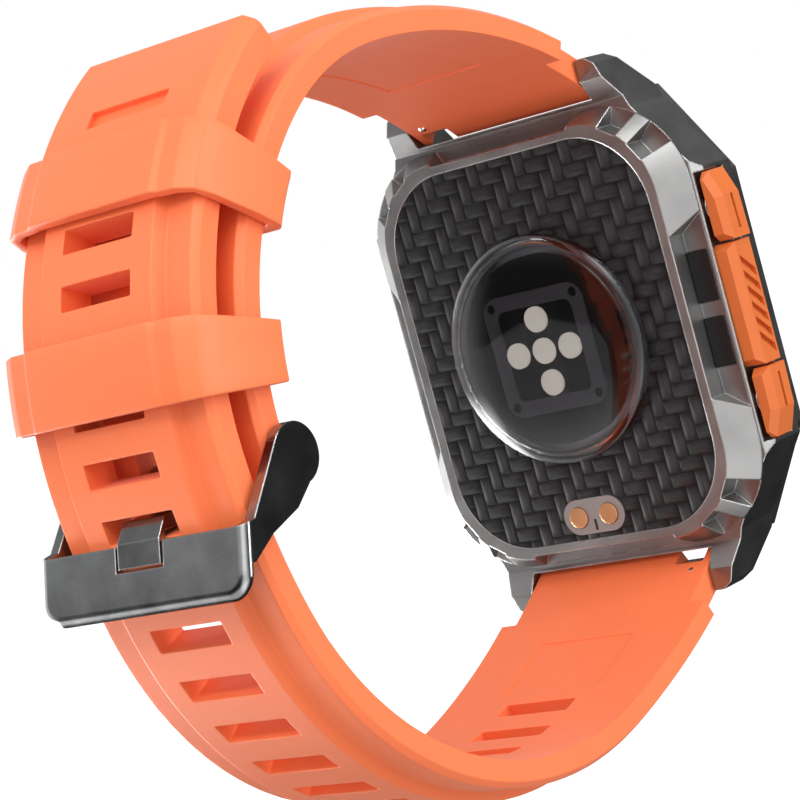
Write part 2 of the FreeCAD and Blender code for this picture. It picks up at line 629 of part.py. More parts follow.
def bar_block(label, outline):
    """A bar piece seen from the back, as deep as the bar, with its long edges chamfered."""
    body = slab(label, S.bar_top, S.bar_width, lambda sketch: polygon(sketch, outline))
    dress(body, "Chamfer", S.bar_width / 6, lambda edge: abs(edge.CenterOfMass.x) > half_width
          and abs(edge.BoundBox.YLength) < 1e-6, "BarEdges")
    return body


def make_flanks():
    """Two sprung buttons with a hatched guard between them, and a plain guard opposite."""
    root = -half_width + S.side_gap
    crown = -half_width - S.bar_proud
    for name, sign in (("upper", 1), ("lower", -1)):
        near = (S.middle_half + S.button_gap) * sign
        knee = (S.bar_half_z - 2.8) * sign
        far = S.bar_half_z * sign
        body = bar_block(f"{name}_button", [
            (root, near), (crown, near), (crown + 0.1, knee), (crown + 1.2, far), (root, far)])
        groove = new_sketch(body, name + "Groove", depth=bar_middle - 0.2)
        polygon(groove, [(crown - 1, near + 0.9 * sign), (crown + 0.45, near + 0.9 * sign),
                         (crown + 0.7, knee), (crown - 1, knee)])
        pocket(body, groove, 0.4, reversed_way=True)
        stem = new_sketch(body, name + "Stem", "YZ_Plane", depth=root - S.side_gap)
        disc(stem, -bar_middle, button_z * sign, S.stem_radius)
        pad(body, stem, S.stem_reach)
        clip_x = -cavity_half_x + 0.15
        feature(f"{name}_button_clip", tube(
            S.stem_radius * 1.7, S.stem_radius, (clip_x, -bar_middle, button_z * sign),
            (clip_x + 0.4, -bar_middle, button_z * sign)))
    middle = -half_width - S.middle_proud
    guard = bar_block("left_guard", [
        (-seat_floor, -S.middle_half), (middle, -S.middle_half), (middle, S.middle_half),
        (-seat_floor, S.middle_half)])
    hatch = new_sketch(guard, "Hatch", "YZ_Plane", depth=middle - 0.5)
    step = S.middle_half * 2 / 8
    low, high = -bar_bottom + 1.05, -S.bar_top - 1.05
    for count in range(6):
        start = -S.middle_half + step * (count + 0.45)
        polygon(hatch, [(low, start), (high, start + step * 1.1), (high, start + step * 1.65),
                        (low, start + step * 0.55)])
    pocket(guard, hatch, 1.0, reversed_way=True)
    far = S.bar_half_z
    bar_block("right_guard", [
        (seat_floor, -far), (half_width - 0.5, -far), (half_width + S.right_proud, -far + 2.8),
        (half_width + S.right_proud, far - 2.8), (half_width - 0.5, far), (seat_floor, far)])
    seals = []
    for name, sign in (("upper", 1), ("lower", -1)):
        z = button_z * sign
        seals.append(Part.makeTorus(S.stem_radius + 0.36, 0.3, Vector(
            -cavity_half_x - S.seal_depth / 2, -bar_middle, z), Vector(1, 0, 0)))
        seat = -seat_floor + S.spring_depth - 0.2
        feature(f"{name}_button_spring", coil(S.stem_radius + 0.42, 0.15, seat - root - 0.2, 3,
                                              (seat, -bar_middle, z), (-1, 0, 0),
                                              Part.makeLongHelix))
    feature("button_seals", Part.makeCompound(seals))


# --- Strap line -----------------------------------------------------------------------------

class Bend:
    """A circular arc in the (y, z) plane: centre, radius, start angle and signed sweep."""

    def __init__(self, centre, radius, start, sweep):
        self.centre, self.radius, self.start, self.sweep = centre, radius, start, sweep

    def at(self, share, offset=0.0):
        angle = self.start + self.sweep * share
        reach = self.radius + offset
        return (self.centre[0] + reach * math.cos(angle),
                self.centre[1] + reach * math.sin(angle))

    def length(self):
        return self.radius * abs(self.sweep)

    def edge(self, offset, x, backwards=False):
        shares = (1.0, 0.5, 0.0) if backwards else (0.0, 0.5, 1.0)
        return Part.Arc(*[Vector(x, *self.at(share, offset)) for share in shares]).toShape()


def bend_from(point, heading, radius, sweep):
    """The arc that leaves a point along a heading."""
    side = 1 if sweep > 0 else -1
    centre = (point[0] - math.sin(heading) * radius * side,
              point[1] + math.cos(heading) * radius * side)
    start = math.atan2(point[1] - centre[1], point[0] - centre[0])
    return Bend(centre, radius, start, sweep)


def bend_to(point, heading, end):
    """The arc that leaves a point along a heading and passes through the end."""
    ahead = (end[0] - point[0]) * math.cos(heading) + (end[1] - point[1]) * math.sin(heading)
    aside = (end[1] - point[1]) * math.cos(heading) - (end[0] - point[0]) * math.sin(heading)
    sweep = 2 * math.atan2(aside, ahead)
    radius = (ahead ** 2 + aside ** 2) / (2 * abs(aside))
    return bend_from(point, heading, radius, sweep)


def two_bends(point, heading, end, end_heading, share):
    """Two tangent arcs between two headed points."""
    go = (math.cos(heading), math.sin(heading))
    arrive = (math.cos(end_heading), math.sin(end_heading))
    span = (end[0] - point[0], end[1] - point[1])
    a = 2 * share * (1 - go[0] * arrive[0] - go[1] * arrive[1])
    b = 2 * (span[0] * (go[0] + share * arrive[0]) + span[1] * (go[1] + share * arrive[1]))
    c = span[0] ** 2 + span[1] ** 2
    first = (-b + math.sqrt(b * b + 4 * a * c)) / (2 * a)
    second = first * share
    weight = first / (first + second)
    joint = tuple((point[i] + first * go[i]) * (1 - weight)
                  + (end[i] - second * arrive[i]) * weight for i in (0, 1))
    one = bend_to(point, heading, joint)
    return [one, bend_to(joint, heading + one.sweep, end)]


def strap_line(side, heading, radius, sweep, end, end_heading, share):
    """A strap half's inner line, from its lug to the buckle pin."""
    turn = 1 if sweep > 0 else -1
    point = (-S.bar_axis_depth - math.sin(heading) * hub_radius * turn,
             S.bar_axis_z * side + math.cos(heading) * hub_radius * turn)
    first = bend_from(point, heading, radius, sweep)
    return [first] + two_bends(first.at(1), heading + sweep, end, end_heading, share)


def section(bends, low, high, half):
    """The layer between two offsets from the line, as wide as plus and minus half."""
    edges = [bend.edge(low, -half) for bend in bends]
    edges.append(Part.makeLine(Vector(-half, *bends[-1].at(1, low)),
                               Vector(-half, *bends[-1].at(1, high))))
    edges += [bend.edge(high, -half, True) for bend in reversed(bends)]
    edges.append(Part.makeLine(Vector(-half, *bends[0].at(0, high)),
                               Vector(-half, *bends[0].at(0, low))))
    return Part.Face(Part.Wire(edges)).extrude(Vector(2 * half, 0, 0))


def walk(bends, distance):
    """The bend and share at a distance along the line."""
    for bend in bends:
        if distance <= bend.length():
            return bend, distance / bend.length()
        distance -= bend.length()
    return bends[-1], 1.0


def cross_cutter(bends, distance, width, length, low, high):
    """A box across the strap at a distance along its line, between two offsets."""
    bend, share = walk(bends, distance)
    y, z = bend.at(share)
    out = ((y - bend.centre[0]) / bend.radius, (z - bend.centre[1]) / bend.radius)
    along = (-out[1], out[0])
    corners = [(y + out[0] * o + along[0] * a, z + out[1] * o + along[1] * a)
               for o, a in ((low, -width / 2), (high, -width / 2), (high, width / 2),
                            (low, width / 2))]
    return prism_x(corners, -length / 2, length / 2)


pin = (S.pin_depth, S.pin_z)
end_heading = radians(S.pin_heading)
short_end = (pin[0] + math.sin(end_heading) * hub_radius,
             pin[1] - math.cos(end_heading) * hub_radius)
SHORT = strap_line(1, radians(S.short_heading), S.short_radius, radians(S.short_sweep),
                   short_end, end_heading, S.short_share)
layer = S.strap_thick + S.layer_gap
long_end = SHORT[-1].at(1, layer)
LONG = strap_line(-1, radians(S.long_heading), S.long_radius, radians(S.long_sweep),
                  long_end, end_heading + math.pi, S.long_share)
upper_bend, lower_bend = SHORT[1], SHORT[2]
tail_turn = radians(S.tail_angle) - (upper_bend.start + upper_bend.sweep)
TAIL = [Bend(lower_bend.centre, lower_bend.radius + layer, lower_bend.start + lower_bend.sweep,
             -lower_bend.sweep),
        Bend(upper_bend.centre, upper_bend.radius + layer, upper_bend.start + upper_bend.sweep,
             tail_turn)]


def taper(end_half, end_y):
    """A wedge seen from 12 o'clock that narrows the strap from the lugs to the buckle."""
    start_y, stop_y, tall = -S.lug_reach, end_y * 1.5, S.lug_reach * 2
    slope = (strap_half - end_half) / end_y
    corners = [(strap_half - slope * y, y) for y in (start_y, stop_y)]
    outline = corners + [(-x, y) for x, y in reversed(corners)]
    wire = Part.makePolygon([Vector(x, y, -tall) for x, y in outline + outline[:1]])
    return Part.Face(wire).extrude(Vector(0, 0, tall * 2))


def strap_blank(bends, end_half, side):
    """Shoulders, raised centre band and the tab that fits between the lugs."""
    shoulder = S.strap_thick - S.shoulder_drop
    base = section(bends, 0, shoulder, strap_half)
    band = section(bends, 0, S.strap_thick, S.band_half)
    blank = base.fuse(band).common(taper(end_half, S.pin_depth))
    step_z = (S.lug_reach + 0.6) * side
    far_z = S.body_half * side
    for x0, x1 in ((-strap_half - 1, -tab_half), (tab_half, strap_half + 1)):
        low, high = sorted((step_z, far_z))
        blank = blank.cut(block((x0, -S.lug_reach, low), (x1, 1.5, high)))
    hub = rod(hub_radius, (-tab_half, -S.bar_axis_depth, S.bar_axis_z * side),
              (tab_half, -S.bar_axis_depth, S.bar_axis_z * side))
    heel_low, heel_high = sorted(((S.body_half + S.heel_gap) * side, S.bar_axis_z * side))
    heel = block((-tab_half, -S.bar_axis_depth - 1.0, heel_low),
                 (tab_half, -S.bar_axis_depth + 1.2, heel_high))
    return blank.fuse(hub).fuse(heel)


def bar_room(side, knob_side):
    """The bore for the spring bar's tube and the notch for its release knob."""
    y, z = -S.bar_axis_depth, S.bar_axis_z * side
    bore = rod(S.tube_radius + S.running_gap, (-tab_half - 1, y, z), (tab_half + 1, y, z))
    low = knob_x - S.knob_travel - S.knob_radius - 0.5
    high = knob_x + S.knob_radius + 0.6
    x0, x1 = sorted((low * knob_side, high * knob_side))
    z0, z1 = sorted((S.body_half * side, z + (S.knob_radius + 0.6) * side))
    notch = block((x0, y, z0), (x1, y + 4, z1))
    return joined([bore, notch])


def make_straps():
    """The buckle half from 12 o'clock, and the slotted half from 6 o'clock with its tail."""
    short = strap_blank(SHORT, S.short_end_half, 1)
    hub = rod(S.pin_hub_radius, (-S.short_end_half, *pin), (S.short_end_half, *pin))
    short = short.fuse(hub).cut(bar_room(1, 1))
    short = short.cut(rod(S.pin_radius + S.fit_gap, (-strap_half, *pin), (strap_half, *pin)))
    room_half = S.tongue_half + S.buckle_gap
    reach = S.pin_hub_radius + 1.0
    short = short.cut(block((-room_half, pin[0] - 6, pin[1] - 6), (room_half, pin[0] + 6,
                                                                 pin[1] + reach)))
    feature("short_strap", short)
    whole = LONG + TAIL
    run = sum(bend.length() for bend in LONG)
    total = sum(bend.length() for bend in whole)
    blank = strap_blank(whole, S.long_end_half, -1)
    last = TAIL[-1]
    share = S.tip_reach_full / last.length()
    tip = Bend(last.centre, last.radius, last.start + last.sweep * (1 - share),
               last.sweep * share)
    blank = blank.fuse(section([tip], 0, S.strap_thick, S.long_end_half))
    for side in (-1, 1):
        x0, x1 = sorted((S.long_end_half * side, (strap_half + 1) * side))
        blank = blank.cut(block((x0, S.pin_depth * 0.55, S.pin_z - 3),
                                (x1, S.pin_depth * 1.4, S.lug_reach * 2)))
    for count in range(-int(S.slots_after), int(S.slots_before) + 1):
        pitch = S.slot_pitch if count > 0 else S.tail_slot_pitch
        distance = run - S.slot_lead - pitch * count
        blank = blank.cut(cross_cutter(whole, distance, S.slot_width, S.slot_length,
                                       -1, S.strap_thick + 1))
    recess_floor = S.strap_thick - 0.7
    blank = blank.cut(cross_cutter(whole, total - S.tip_recess_lead, 1.8, 10.6, recess_floor,
                                   S.strap_thick + 1))
    feature("long_strap", blank.cut(bar_room(-1, -1)))


# --- Spring bars ----------------------------------------------------------------------------

def make_spring_bars():
    """Quick-release bars: a tube, a fixed tip, a sliding pin with its knob, and a spring."""
    for name, side, knob_side in (("upper", 1, 1), ("lower", -1, -1)):
        y, z = -S.bar_axis_depth, S.bar_axis_z * side
        end = tab_half - 0.2
        inner = S.tube_radius - S.tube_wall
        slot_low = knob_x - S.knob_travel - S.knob_radius - 0.3
        slot_high = knob_x + S.knob_radius + 0.3
        half = S.knob_radius + 0.2
        x0, x1 = sorted((slot_low * knob_side, slot_high * knob_side))
        shell = tube(S.tube_radius, inner, (-end, y, z), (end, y, z))
        feature(f"{name}_bar_tube", shell.cut(block((x0, y, z - half), (x1, y + 2, z + half))))
        tip_end = S.lug_gap / 2 + S.tip_reach
        away = -knob_side
        feature(f"{name}_bar_tip", joined([
            rod(S.tip_radius, (tip_end * away, y, z), (end * away, y, z)),
            rod(inner, (end * away, y, z), ((end - 2.5) * away, y, z))]))
        plunger = knob_x - 1.4
        feature(f"{name}_release_pin", joined([
            rod(S.tip_radius, (tip_end * knob_side, y, z), (plunger * knob_side, y, z)),
            rod(inner - S.running_gap, (end * knob_side, y, z), (plunger * knob_side, y, z)),
            rod(S.knob_radius, (knob_x * knob_side, y, z), (knob_x * knob_side, y + 2.6, z)),
            Part.makeSphere(S.knob_radius * 1.3, Vector(knob_x * knob_side, y + 2.7, z))]))
        room = plunger - S.knob_travel - 0.2 - 1.0
        feature(f"{name}_bar_spring", coil(inner - 0.22, 0.17, room, 8,
                                           (1.0 * knob_side, y, z), (knob_side, 0, 0)))


# --- Buckle and keepers -----------------------------------------------------------------------

def about_pin(shape):
    """An outline given in (y, z) about the buckle pin, moved to it."""
    return [(pin[0] + y, pin[1] + z) for y, z in shape]


def make_buckle():
    """Frame of two side plates and a cross bar, the tongue, and the pin they turn on."""
    crest = layer + S.strap_thick - hub_radius
    bar = about_pin([(crest + 0.5, -4.2), (crest + 2.5, -10.3), (crest + 1.6, -10.6),
                     (crest - 0.3, -4.5)])
    arm = about_pin([(S.lobe_shift + 0.4, 2.6), (0.9, 1.8), (crest - 1.0, -4.0),
                     (crest + 0.5, -4.2), (crest + 1.3, -7.6), (crest + 0.2, -7.6),
                     (4.3, -5.9), (0.3, -4.6), (S.lobe_shift - 0.6, -2.9)])
    plate = prism_x(bar, -buckle_half, buckle_half)
    foot_z = pin[1] - 9.0
    plate = plate.makeFillet(S.bar_corner, [
        edge for edge in plate.Edges if abs(abs(edge.CenterOfMass.x) - buckle_half) < 1e-6
        and edge.BoundBox.ZMax < foot_z])
    pieces = [plate]
    for side in (-1, 1):
        x0, x1 = sorted((arm_inside * side, buckle_half * side))
        pieces.append(prism_x(arm, x0, x1))
        lobe = (pin[0] + S.lobe_shift, pin[1])
        pieces.append(rod(S.lobe_radius, (x0, *lobe), (x1, *lobe)))
    frame = joined(pieces).removeSplitter()
    front_y = pin[0] + crest + 0.45
    corners = [edge for edge in frame.Edges if abs(abs(edge.CenterOfMass.x) - buckle_half) < 1e-6
               and edge.BoundBox.YMin > front_y and edge.BoundBox.ZLength > 2]
    frame = frame.makeFillet(S.arm_thick * 0.8, corners)
    bore_half = buckle_half - S.pin_end + S.running_gap
    frame = frame.cut(rod(S.pin_radius + S.running_gap, (-bore_half, *pin), (bore_half, *pin)))
    notch_half = S.tongue_half + 0.35
    tip = about_pin([(5.6, -2.0), (5.6, -6.5), (12.0, -6.5), (12.0, -2.0)])
    frame = frame.cut(prism_x(tip, -notch_half, notch_half))
    feature("buckle_frame", frame)
    tongue = about_pin([(-0.9, -0.9), (2.0, -3.6), (crest - 0.5, -3.6), (crest + 0.4, -6.3),
                        (crest + 1.15, -6.2), (crest + 0.5, -4.0), (crest - 0.9, -2.3),
                        (2.6, -2.3), (1.1, -0.8)])
    leaf = prism_x(tongue, -S.tongue_half, S.tongue_half)
    hub = rod(S.pin_radius * 2.1, (-S.tongue_half, *pin), (S.tongue_half, *pin))
    bore = rod(S.pin_radius + S.running_gap, (-S.tongue_half - 1, *pin), (S.tongue_half + 1, *pin))
    feature("buckle_tongue", leaf.fuse(hub).cut(bore))
    reach = buckle_half - S.pin_end
    feature("buckle_pin", rod(S.pin_radius, (-reach, *pin), (reach, *pin)))


def make_keepers():
    """Two loops that hold the tail against the buckle half."""
    stack = layer + S.strap_thick
    for name, bend, degrees in (("upper", lower_bend, S.upper_keeper_angle),
                                ("lower", lower_bend, S.lower_keeper_angle)):
        middle = bend.radius + stack / 2
        spread = S.keeper_width / middle
        start = radians(degrees) + spread / 2
        piece = Bend(bend.centre, bend.radius, start, -spread)
        longer = Bend(bend.centre, bend.radius, start + 0.1, -spread - 0.2)
        inner_half = S.short_end_half + S.keeper_gap + 0.15
        low, high = -S.keeper_gap, stack + S.keeper_gap
        loop = section([piece], low - S.keeper_wall, high + S.keeper_wall,
                       inner_half + S.keeper_wall)
        edges = [edge for edge in loop.Edges
                 if len(edge.Vertexes) == 2 and abs(edge.BoundBox.XLength) < 1e-6
                 and math.hypot(edge.CenterOfMass.y - bend.centre[0],
                                edge.CenterOfMass.z - bend.centre[1]) > middle
                 and edge.BoundBox.DiagonalLength > S.keeper_width * 0.9]
        loop = loop.makeChamfer(S.keeper_wall * 1.3, edges)
        feature(f"{name}_keeper", loop.cut(section([longer], low, high, inner_half)))


make_mid_frame()
make_back_ring()
make_back()
make_front()
make_inside()
make_flanks()
make_straps()
make_spring_bars()
make_buckle()
make_keepers()
doc.recompute()

for thing in doc.Objects:
    if "Invalid" in thing.State or "Error" in thing.State:
        raise RuntimeError(f"{thing.Label} did not compute: {thing.State}")
for node, thing in NODES.items():
    if thing.Shape.isNull() or not thing.Shape.isValid() or not thing.Shape.Solids:
        raise RuntimeError(f"{node} has no valid solid")
for node, thing in NODES.items():
    thing.Shape.exportStep(f"parts/{node}.step")
print(len(NODES), "nodes written")
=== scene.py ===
import math

import bmesh
import bpy
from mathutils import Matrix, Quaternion, Vector


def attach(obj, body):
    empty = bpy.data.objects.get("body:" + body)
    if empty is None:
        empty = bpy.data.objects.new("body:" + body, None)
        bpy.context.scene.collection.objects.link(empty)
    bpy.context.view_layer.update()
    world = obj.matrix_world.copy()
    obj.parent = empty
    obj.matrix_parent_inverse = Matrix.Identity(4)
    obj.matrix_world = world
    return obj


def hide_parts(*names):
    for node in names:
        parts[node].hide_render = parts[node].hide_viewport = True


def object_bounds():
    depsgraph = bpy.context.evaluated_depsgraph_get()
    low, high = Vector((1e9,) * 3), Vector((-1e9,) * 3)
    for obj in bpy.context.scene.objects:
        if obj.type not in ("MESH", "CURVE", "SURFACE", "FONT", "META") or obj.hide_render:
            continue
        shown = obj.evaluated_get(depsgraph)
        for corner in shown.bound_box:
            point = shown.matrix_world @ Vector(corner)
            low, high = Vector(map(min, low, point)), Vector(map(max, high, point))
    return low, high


# GPS running watch, lying on nothing, buckled, seen from the side that touches the wrist.
# Metres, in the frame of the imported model: +X to 3 o'clock, +Y to the wrist, +Z to 12 o'clock.
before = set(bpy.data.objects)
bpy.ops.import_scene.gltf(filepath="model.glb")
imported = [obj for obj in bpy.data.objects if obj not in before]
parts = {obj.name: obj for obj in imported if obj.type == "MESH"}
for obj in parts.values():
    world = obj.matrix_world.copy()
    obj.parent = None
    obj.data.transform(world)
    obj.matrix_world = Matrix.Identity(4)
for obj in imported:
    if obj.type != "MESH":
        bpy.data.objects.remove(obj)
cad_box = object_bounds()
mm = 0.001


# --- Camera ---------------------------------------------------------------------------------
# A long lens close to the watch. It looks at the back of the case from past 9 o'clock, from
# slightly above, and leans over to the side.

camera_data = bpy.data.cameras.new("camera")
camera_data.lens = 126.6
camera_data.sensor_width = 36
camera_data.clip_start = 0.02
camera = bpy.data.objects.new("camera", camera_data)
bpy.context.scene.collection.objects.link(camera)
camera.location = (-0.18072, 0.23926, 0.02099)
look_at = Vector((-0.00081, 0.02527, 0.00052))
lean = math.radians(15.35)
camera.rotation_mode = "QUATERNION"
camera.rotation_quaternion = ((look_at - camera.location).to_track_quat("-Z", "Y")
                              @ Quaternion((0, 0, 1), -lean))
bpy.context.scene.camera = camera


# --- Studio ---------------------------------------------------------------------------------
# A white room with one soft key above and strips that draw the bright edges on the metal.
# Metal and glass see a dark room with a bright panel in front, one below and one at 3 o'clock.

def calculate(tree, operation, *values):
    """A Math node; values are numbers or sockets."""
    made = tree.nodes.new("ShaderNodeMath")
    made.operation = operation
    feed(tree, made.inputs, values)
    return made.outputs[0]


def feed(tree, sockets, values):
    """Set sockets to numbers or colours, or link them to other sockets, in order."""
    for socket, value in zip(sockets, values):
        if isinstance(value, bpy.types.NodeSocket):
            tree.links.new(value, socket)
        elif value is not None:
            socket.default_value = value


def eased(tree, value, start, stop):
    """0 before the start and 1 past the stop, with a smooth change between."""
    made = tree.nodes.new("ShaderNodeMapRange")
    made.interpolation_type = "SMOOTHSTEP"
    feed(tree, made.inputs, [value, start, stop, 0.0, 1.0])
    return made.outputs[0]


def background(tree, strength):
    """White light from all round, of a strength."""
    made = tree.nodes.new("ShaderNodeBackground")
    feed(tree, made.inputs, [(1, 1, 1, 1), strength])
    return made.outputs[0]


world = bpy.data.worlds.new("studio")
bpy.context.scene.world = world
world.use_nodes = True
room = world.node_tree
room.nodes.clear()
ray = room.nodes.new("ShaderNodeLightPath")
where = room.nodes.new("ShaderNodeTexCoord")
direction = room.nodes.new("ShaderNodeSeparateXYZ")
room.links.new(where.outputs["Generated"], direction.inputs[0])
right_way, wrist_way, up_way = direction.outputs
front_panel = calculate(room, "MULTIPLY", eased(room, right_way, 0.05, -0.45),
                        eased(room, wrist_way, 0.1, 0.7))
side_panel = eased(room, right_way, 0.7, 0.95)
low_panel = calculate(room, "MULTIPLY", eased(room, up_way, -0.15, -0.45),
                      eased(room, wrist_way, 0.0, 0.4))
high_panel = calculate(room, "MULTIPLY", eased(room, up_way, 0.25, 0.45),
                       eased(room, wrist_way, 0.4, 0.6))
low_spot = calculate(room, "MULTIPLY", eased(room, right_way, 0.78, 0.86),
                     eased(room, up_way, -0.14, -0.3))
panels = calculate(room, "MULTIPLY_ADD", front_panel, 1.5,
                   calculate(room, "MULTIPLY_ADD", side_panel, 1.3,
                             calculate(room, "MULTIPLY", low_panel, 0.9)))
panels = calculate(room, "MULTIPLY_ADD", high_panel, 0.8,
                   calculate(room, "MULTIPLY_ADD", low_spot, 14.0, panels))
mirrored = calculate(room, "ADD", panels,
                     calculate(room, "MULTIPLY_ADD", eased(room, up_way, 0.1, 0.9), 0.3, 0.03))
shaded = calculate(room, "MULTIPLY_ADD", eased(room, up_way, -1.0, 0.9), 0.22, 0.68)
unseen = room.nodes.new("ShaderNodeMixShader")
feed(room, unseen.inputs, [ray.outputs["Is Glossy Ray"], background(room, shaded),
                           background(room, mirrored)])
shown = room.nodes.new("ShaderNodeMixShader")
feed(room, shown.inputs, [ray.outputs["Is Camera Ray"], unseen.outputs[0],
                          background(room, 1.0)])
sky = room.nodes.new("ShaderNodeOutputWorld")
room.links.new(shown.outputs[0], sky.inputs["Surface"])
bpy.context.scene.view_settings.view_transform = "Standard"


def softbox(name, place, aim, width, height, power):
    """A rectangular lamp at a place, facing a point."""
    data = bpy.data.lights.new(name, "AREA")
    data.shape = "RECTANGLE"
    data.size, data.size_y, data.energy = width, height, power
    lamp = bpy.data.objects.new(name, data)
    lamp.location = place
    lamp.rotation_mode = "QUATERNION"
    lamp.rotation_quaternion = (Vector(aim) - Vector(place)).to_track_quat("-Z", "Y")
    bpy.context.scene.collection.objects.link(lamp)


softbox("key", (-0.25, 0.35, 0.45), (0, 0.02, 0), 0.35, 0.35, 1.3)
softbox("side_strip", (-0.45, -0.05, 0.10), (0, 0, 0), 0.06, 0.5, 1.2)
softbox("rim_strip", (0.1, 0.45, 0.35), (0, 0.02, 0), 0.4, 0.06, 0.5)


# --- Case metal -----------------------------------------------------------------------------
# The frame with its four lugs, the sloping ring on its back and the bezel on its front are
# cast stainless steel, machined and then bead blasted, so they are a fine-grained dark satin.
# Their edges are painted brighter: partly wear, and partly a painted highlight where light would
# catch them.

def shader_group(name, inputs, outputs):
    """An empty node group; inputs are (name, kind, value), outputs are (name, kind)."""
    group = bpy.data.node_groups.new(name, "ShaderNodeTree")
    for label, kind, value in inputs:
        socket = group.interface.new_socket(label, in_out="INPUT", socket_type=kind)
        socket.default_value = value
    for label, kind in outputs:
        group.interface.new_socket(label, in_out="OUTPUT", socket_type=kind)
    return group, group.nodes.new("NodeGroupInput"), group.nodes.new("NodeGroupOutput")


def noise(tree, place, scale, detail=2.0, stretch=None):
    """A noise pattern's value at a coordinate socket, drawn out along an axis if asked."""
    if stretch:
        scaled = tree.nodes.new("ShaderNodeVectorMath")
        scaled.operation = "MULTIPLY"
        feed(tree, scaled.inputs, [place, stretch])
        place = scaled.outputs[0]
    made = tree.nodes.new("ShaderNodeTexNoise")
    feed(tree, [made.inputs["Vector"], made.inputs["Scale"], made.inputs["Detail"]],
         [place, scale, detail])
    return made.outputs["Fac"]


def own_place(tree):
    """The piece's own coordinates, in metres."""
    return tree.nodes.new("ShaderNodeTexCoord").outputs["Object"]


grain, grain_in, grain_out = shader_group(
    "Blasted grain", [("Grain Size", "NodeSocketFloat", 0.0003)],
    [("Height", "NodeSocketFloat"), ("Mottle", "NodeSocketFloat")])
fineness = calculate(grain, "DIVIDE", 1.0, grain_in.outputs["Grain Size"])
grain.links.new(noise(grain, own_place(grain), fineness, 3.0), grain_out.inputs["Height"])
blotches = calculate(grain, "MULTIPLY", fineness, 0.06)
grain.links.new(noise(grain, own_place(grain), blotches, 4.0), grain_out.inputs["Mottle"])

# Edges painted brighter: a mask where the rounded normal turns away from the flat one, broken up
# by noise. It stands for wear and also for a painted highlight along the edges.
wear_and_painted_highlight, wear_highlight_in, wear_highlight_out = shader_group(
    "Edge wear", [("Edge Radius", "NodeSocketFloat", 0.0002),
                  ("Breakup", "NodeSocketFloat", 0.5)],
    [("Mask", "NodeSocketFloat"), ("Rounded Normal", "NodeSocketVector")])
rounded = wear_and_painted_highlight.nodes.new("ShaderNodeBevel")
rounded.samples = 6
wear_and_painted_highlight.links.new(wear_highlight_in.outputs["Edge Radius"], rounded.inputs["Radius"])
flat = wear_and_painted_highlight.nodes.new("ShaderNodeNewGeometry")
turn = wear_and_painted_highlight.nodes.new("ShaderNodeVectorMath")
turn.operation = "DOT_PRODUCT"
feed(wear_and_painted_highlight, turn.inputs, [rounded.outputs[0], flat.outputs["Normal"]])
bend = calculate(wear_and_painted_highlight, "SUBTRACT", 1.0, turn.outputs["Value"])
sharp = calculate(wear_and_painted_highlight, "MULTIPLY", bend, 6.0)
edge_breakup = noise(wear_and_painted_highlight, own_place(wear_and_painted_highlight), 900.0, 3.0)
kept = calculate(wear_and_painted_highlight, "MULTIPLY", edge_breakup, wear_highlight_in.outputs["Breakup"])
mask = wear_and_painted_highlight.nodes.new("ShaderNodeClamp")
wear_and_painted_highlight.links.new(calculate(wear_and_painted_highlight, "SUBTRACT", sharp, kept), mask.inputs[0])
wear_and_painted_highlight.links.new(mask.outputs[0], wear_highlight_out.inputs["Mask"])
wear_and_painted_highlight.links.new(rounded.outputs[0], wear_highlight_out.inputs["Rounded Normal"])


def new_material(name, colour, roughness, metallic=0.0):
    """A material with its node tree and its Principled shader."""
    made = bpy.data.materials.new(name)
    made.use_nodes = True
    shader = made.node_tree.nodes["Principled BSDF"]
    shader.inputs["Base Color"].default_value = (*colour, 1)
    shader.inputs["Roughness"].default_value = roughness
    shader.inputs["Metallic"].default_value = metallic
    return made, made.node_tree, shader


def place_group(tree, group, **values):
    """An instance of a shared group, with its inputs set."""
    made = tree.nodes.new("ShaderNodeGroup")
    made.node_tree = group
    for label, value in values.items():
        made.inputs[label.replace("_", " ")].default_value = value
    return made


def blend_colours(tree, share, first, second):
    """Mix two colours or colour sockets by a share."""
    made = tree.nodes.new("ShaderNodeMix")
    made.data_type = "RGBA"
    ends = [(*c, 1) if isinstance(c, tuple) and len(c) == 3 else c for c in (first, second)]
    feed(tree, [made.inputs[0], made.inputs[6], made.inputs[7]], [share, *ends])
    return made.outputs[2]


def bumped(tree, height, strength, distance, normal=None):
    """A bumped normal from a height socket."""
    made = tree.nodes.new("ShaderNodeBump")
    made.inputs["Strength"].default_value = strength
    made.inputs["Distance"].default_value = distance
    tree.links.new(height, made.inputs["Height"])
    if normal is not None:
        tree.links.new(normal, made.inputs["Normal"])
    return made.outputs[0]


def dressed(node, material):
    """Give a carried-over part its material."""
    parts[node].data.materials.clear()
    parts[node].data.materials.append(material)


def metal_with_worn_highlit_edges(name, colour, edge_wear_highlight_colour, roughness, grain_size, edge, bump=0.25):
    """Metal with a grain, blotches, and edges painted brighter as wear and as a painted highlight.
    """
    made, tree, shader = new_material(name, colour, roughness, 1.0)
    surface = place_group(tree, grain, Grain_Size=grain_size)
    edges = place_group(tree, wear_and_painted_highlight, Edge_Radius=edge, Breakup=0.45)
    tint = blend_colours(tree, surface.outputs["Mottle"],
                         tuple(c * 0.8 for c in colour), tuple(c * 1.25 for c in colour))
    feed(tree, [shader.inputs["Base Color"]],
         [blend_colours(tree, edges.outputs["Mask"], tint, edge_wear_highlight_colour)])
    spread = calculate(tree, "MULTIPLY_ADD", surface.outputs["Mottle"], 0.16, roughness - 0.08)
    feed(tree, [shader.inputs["Roughness"]],
         [calculate(tree, "MULTIPLY_ADD", edges.outputs["Mask"], -0.12, spread)])
    feed(tree, [shader.inputs["Normal"]],
         [bumped(tree, surface.outputs["Height"], bump, 0.00004,
                 edges.outputs["Rounded Normal"])])
    return made


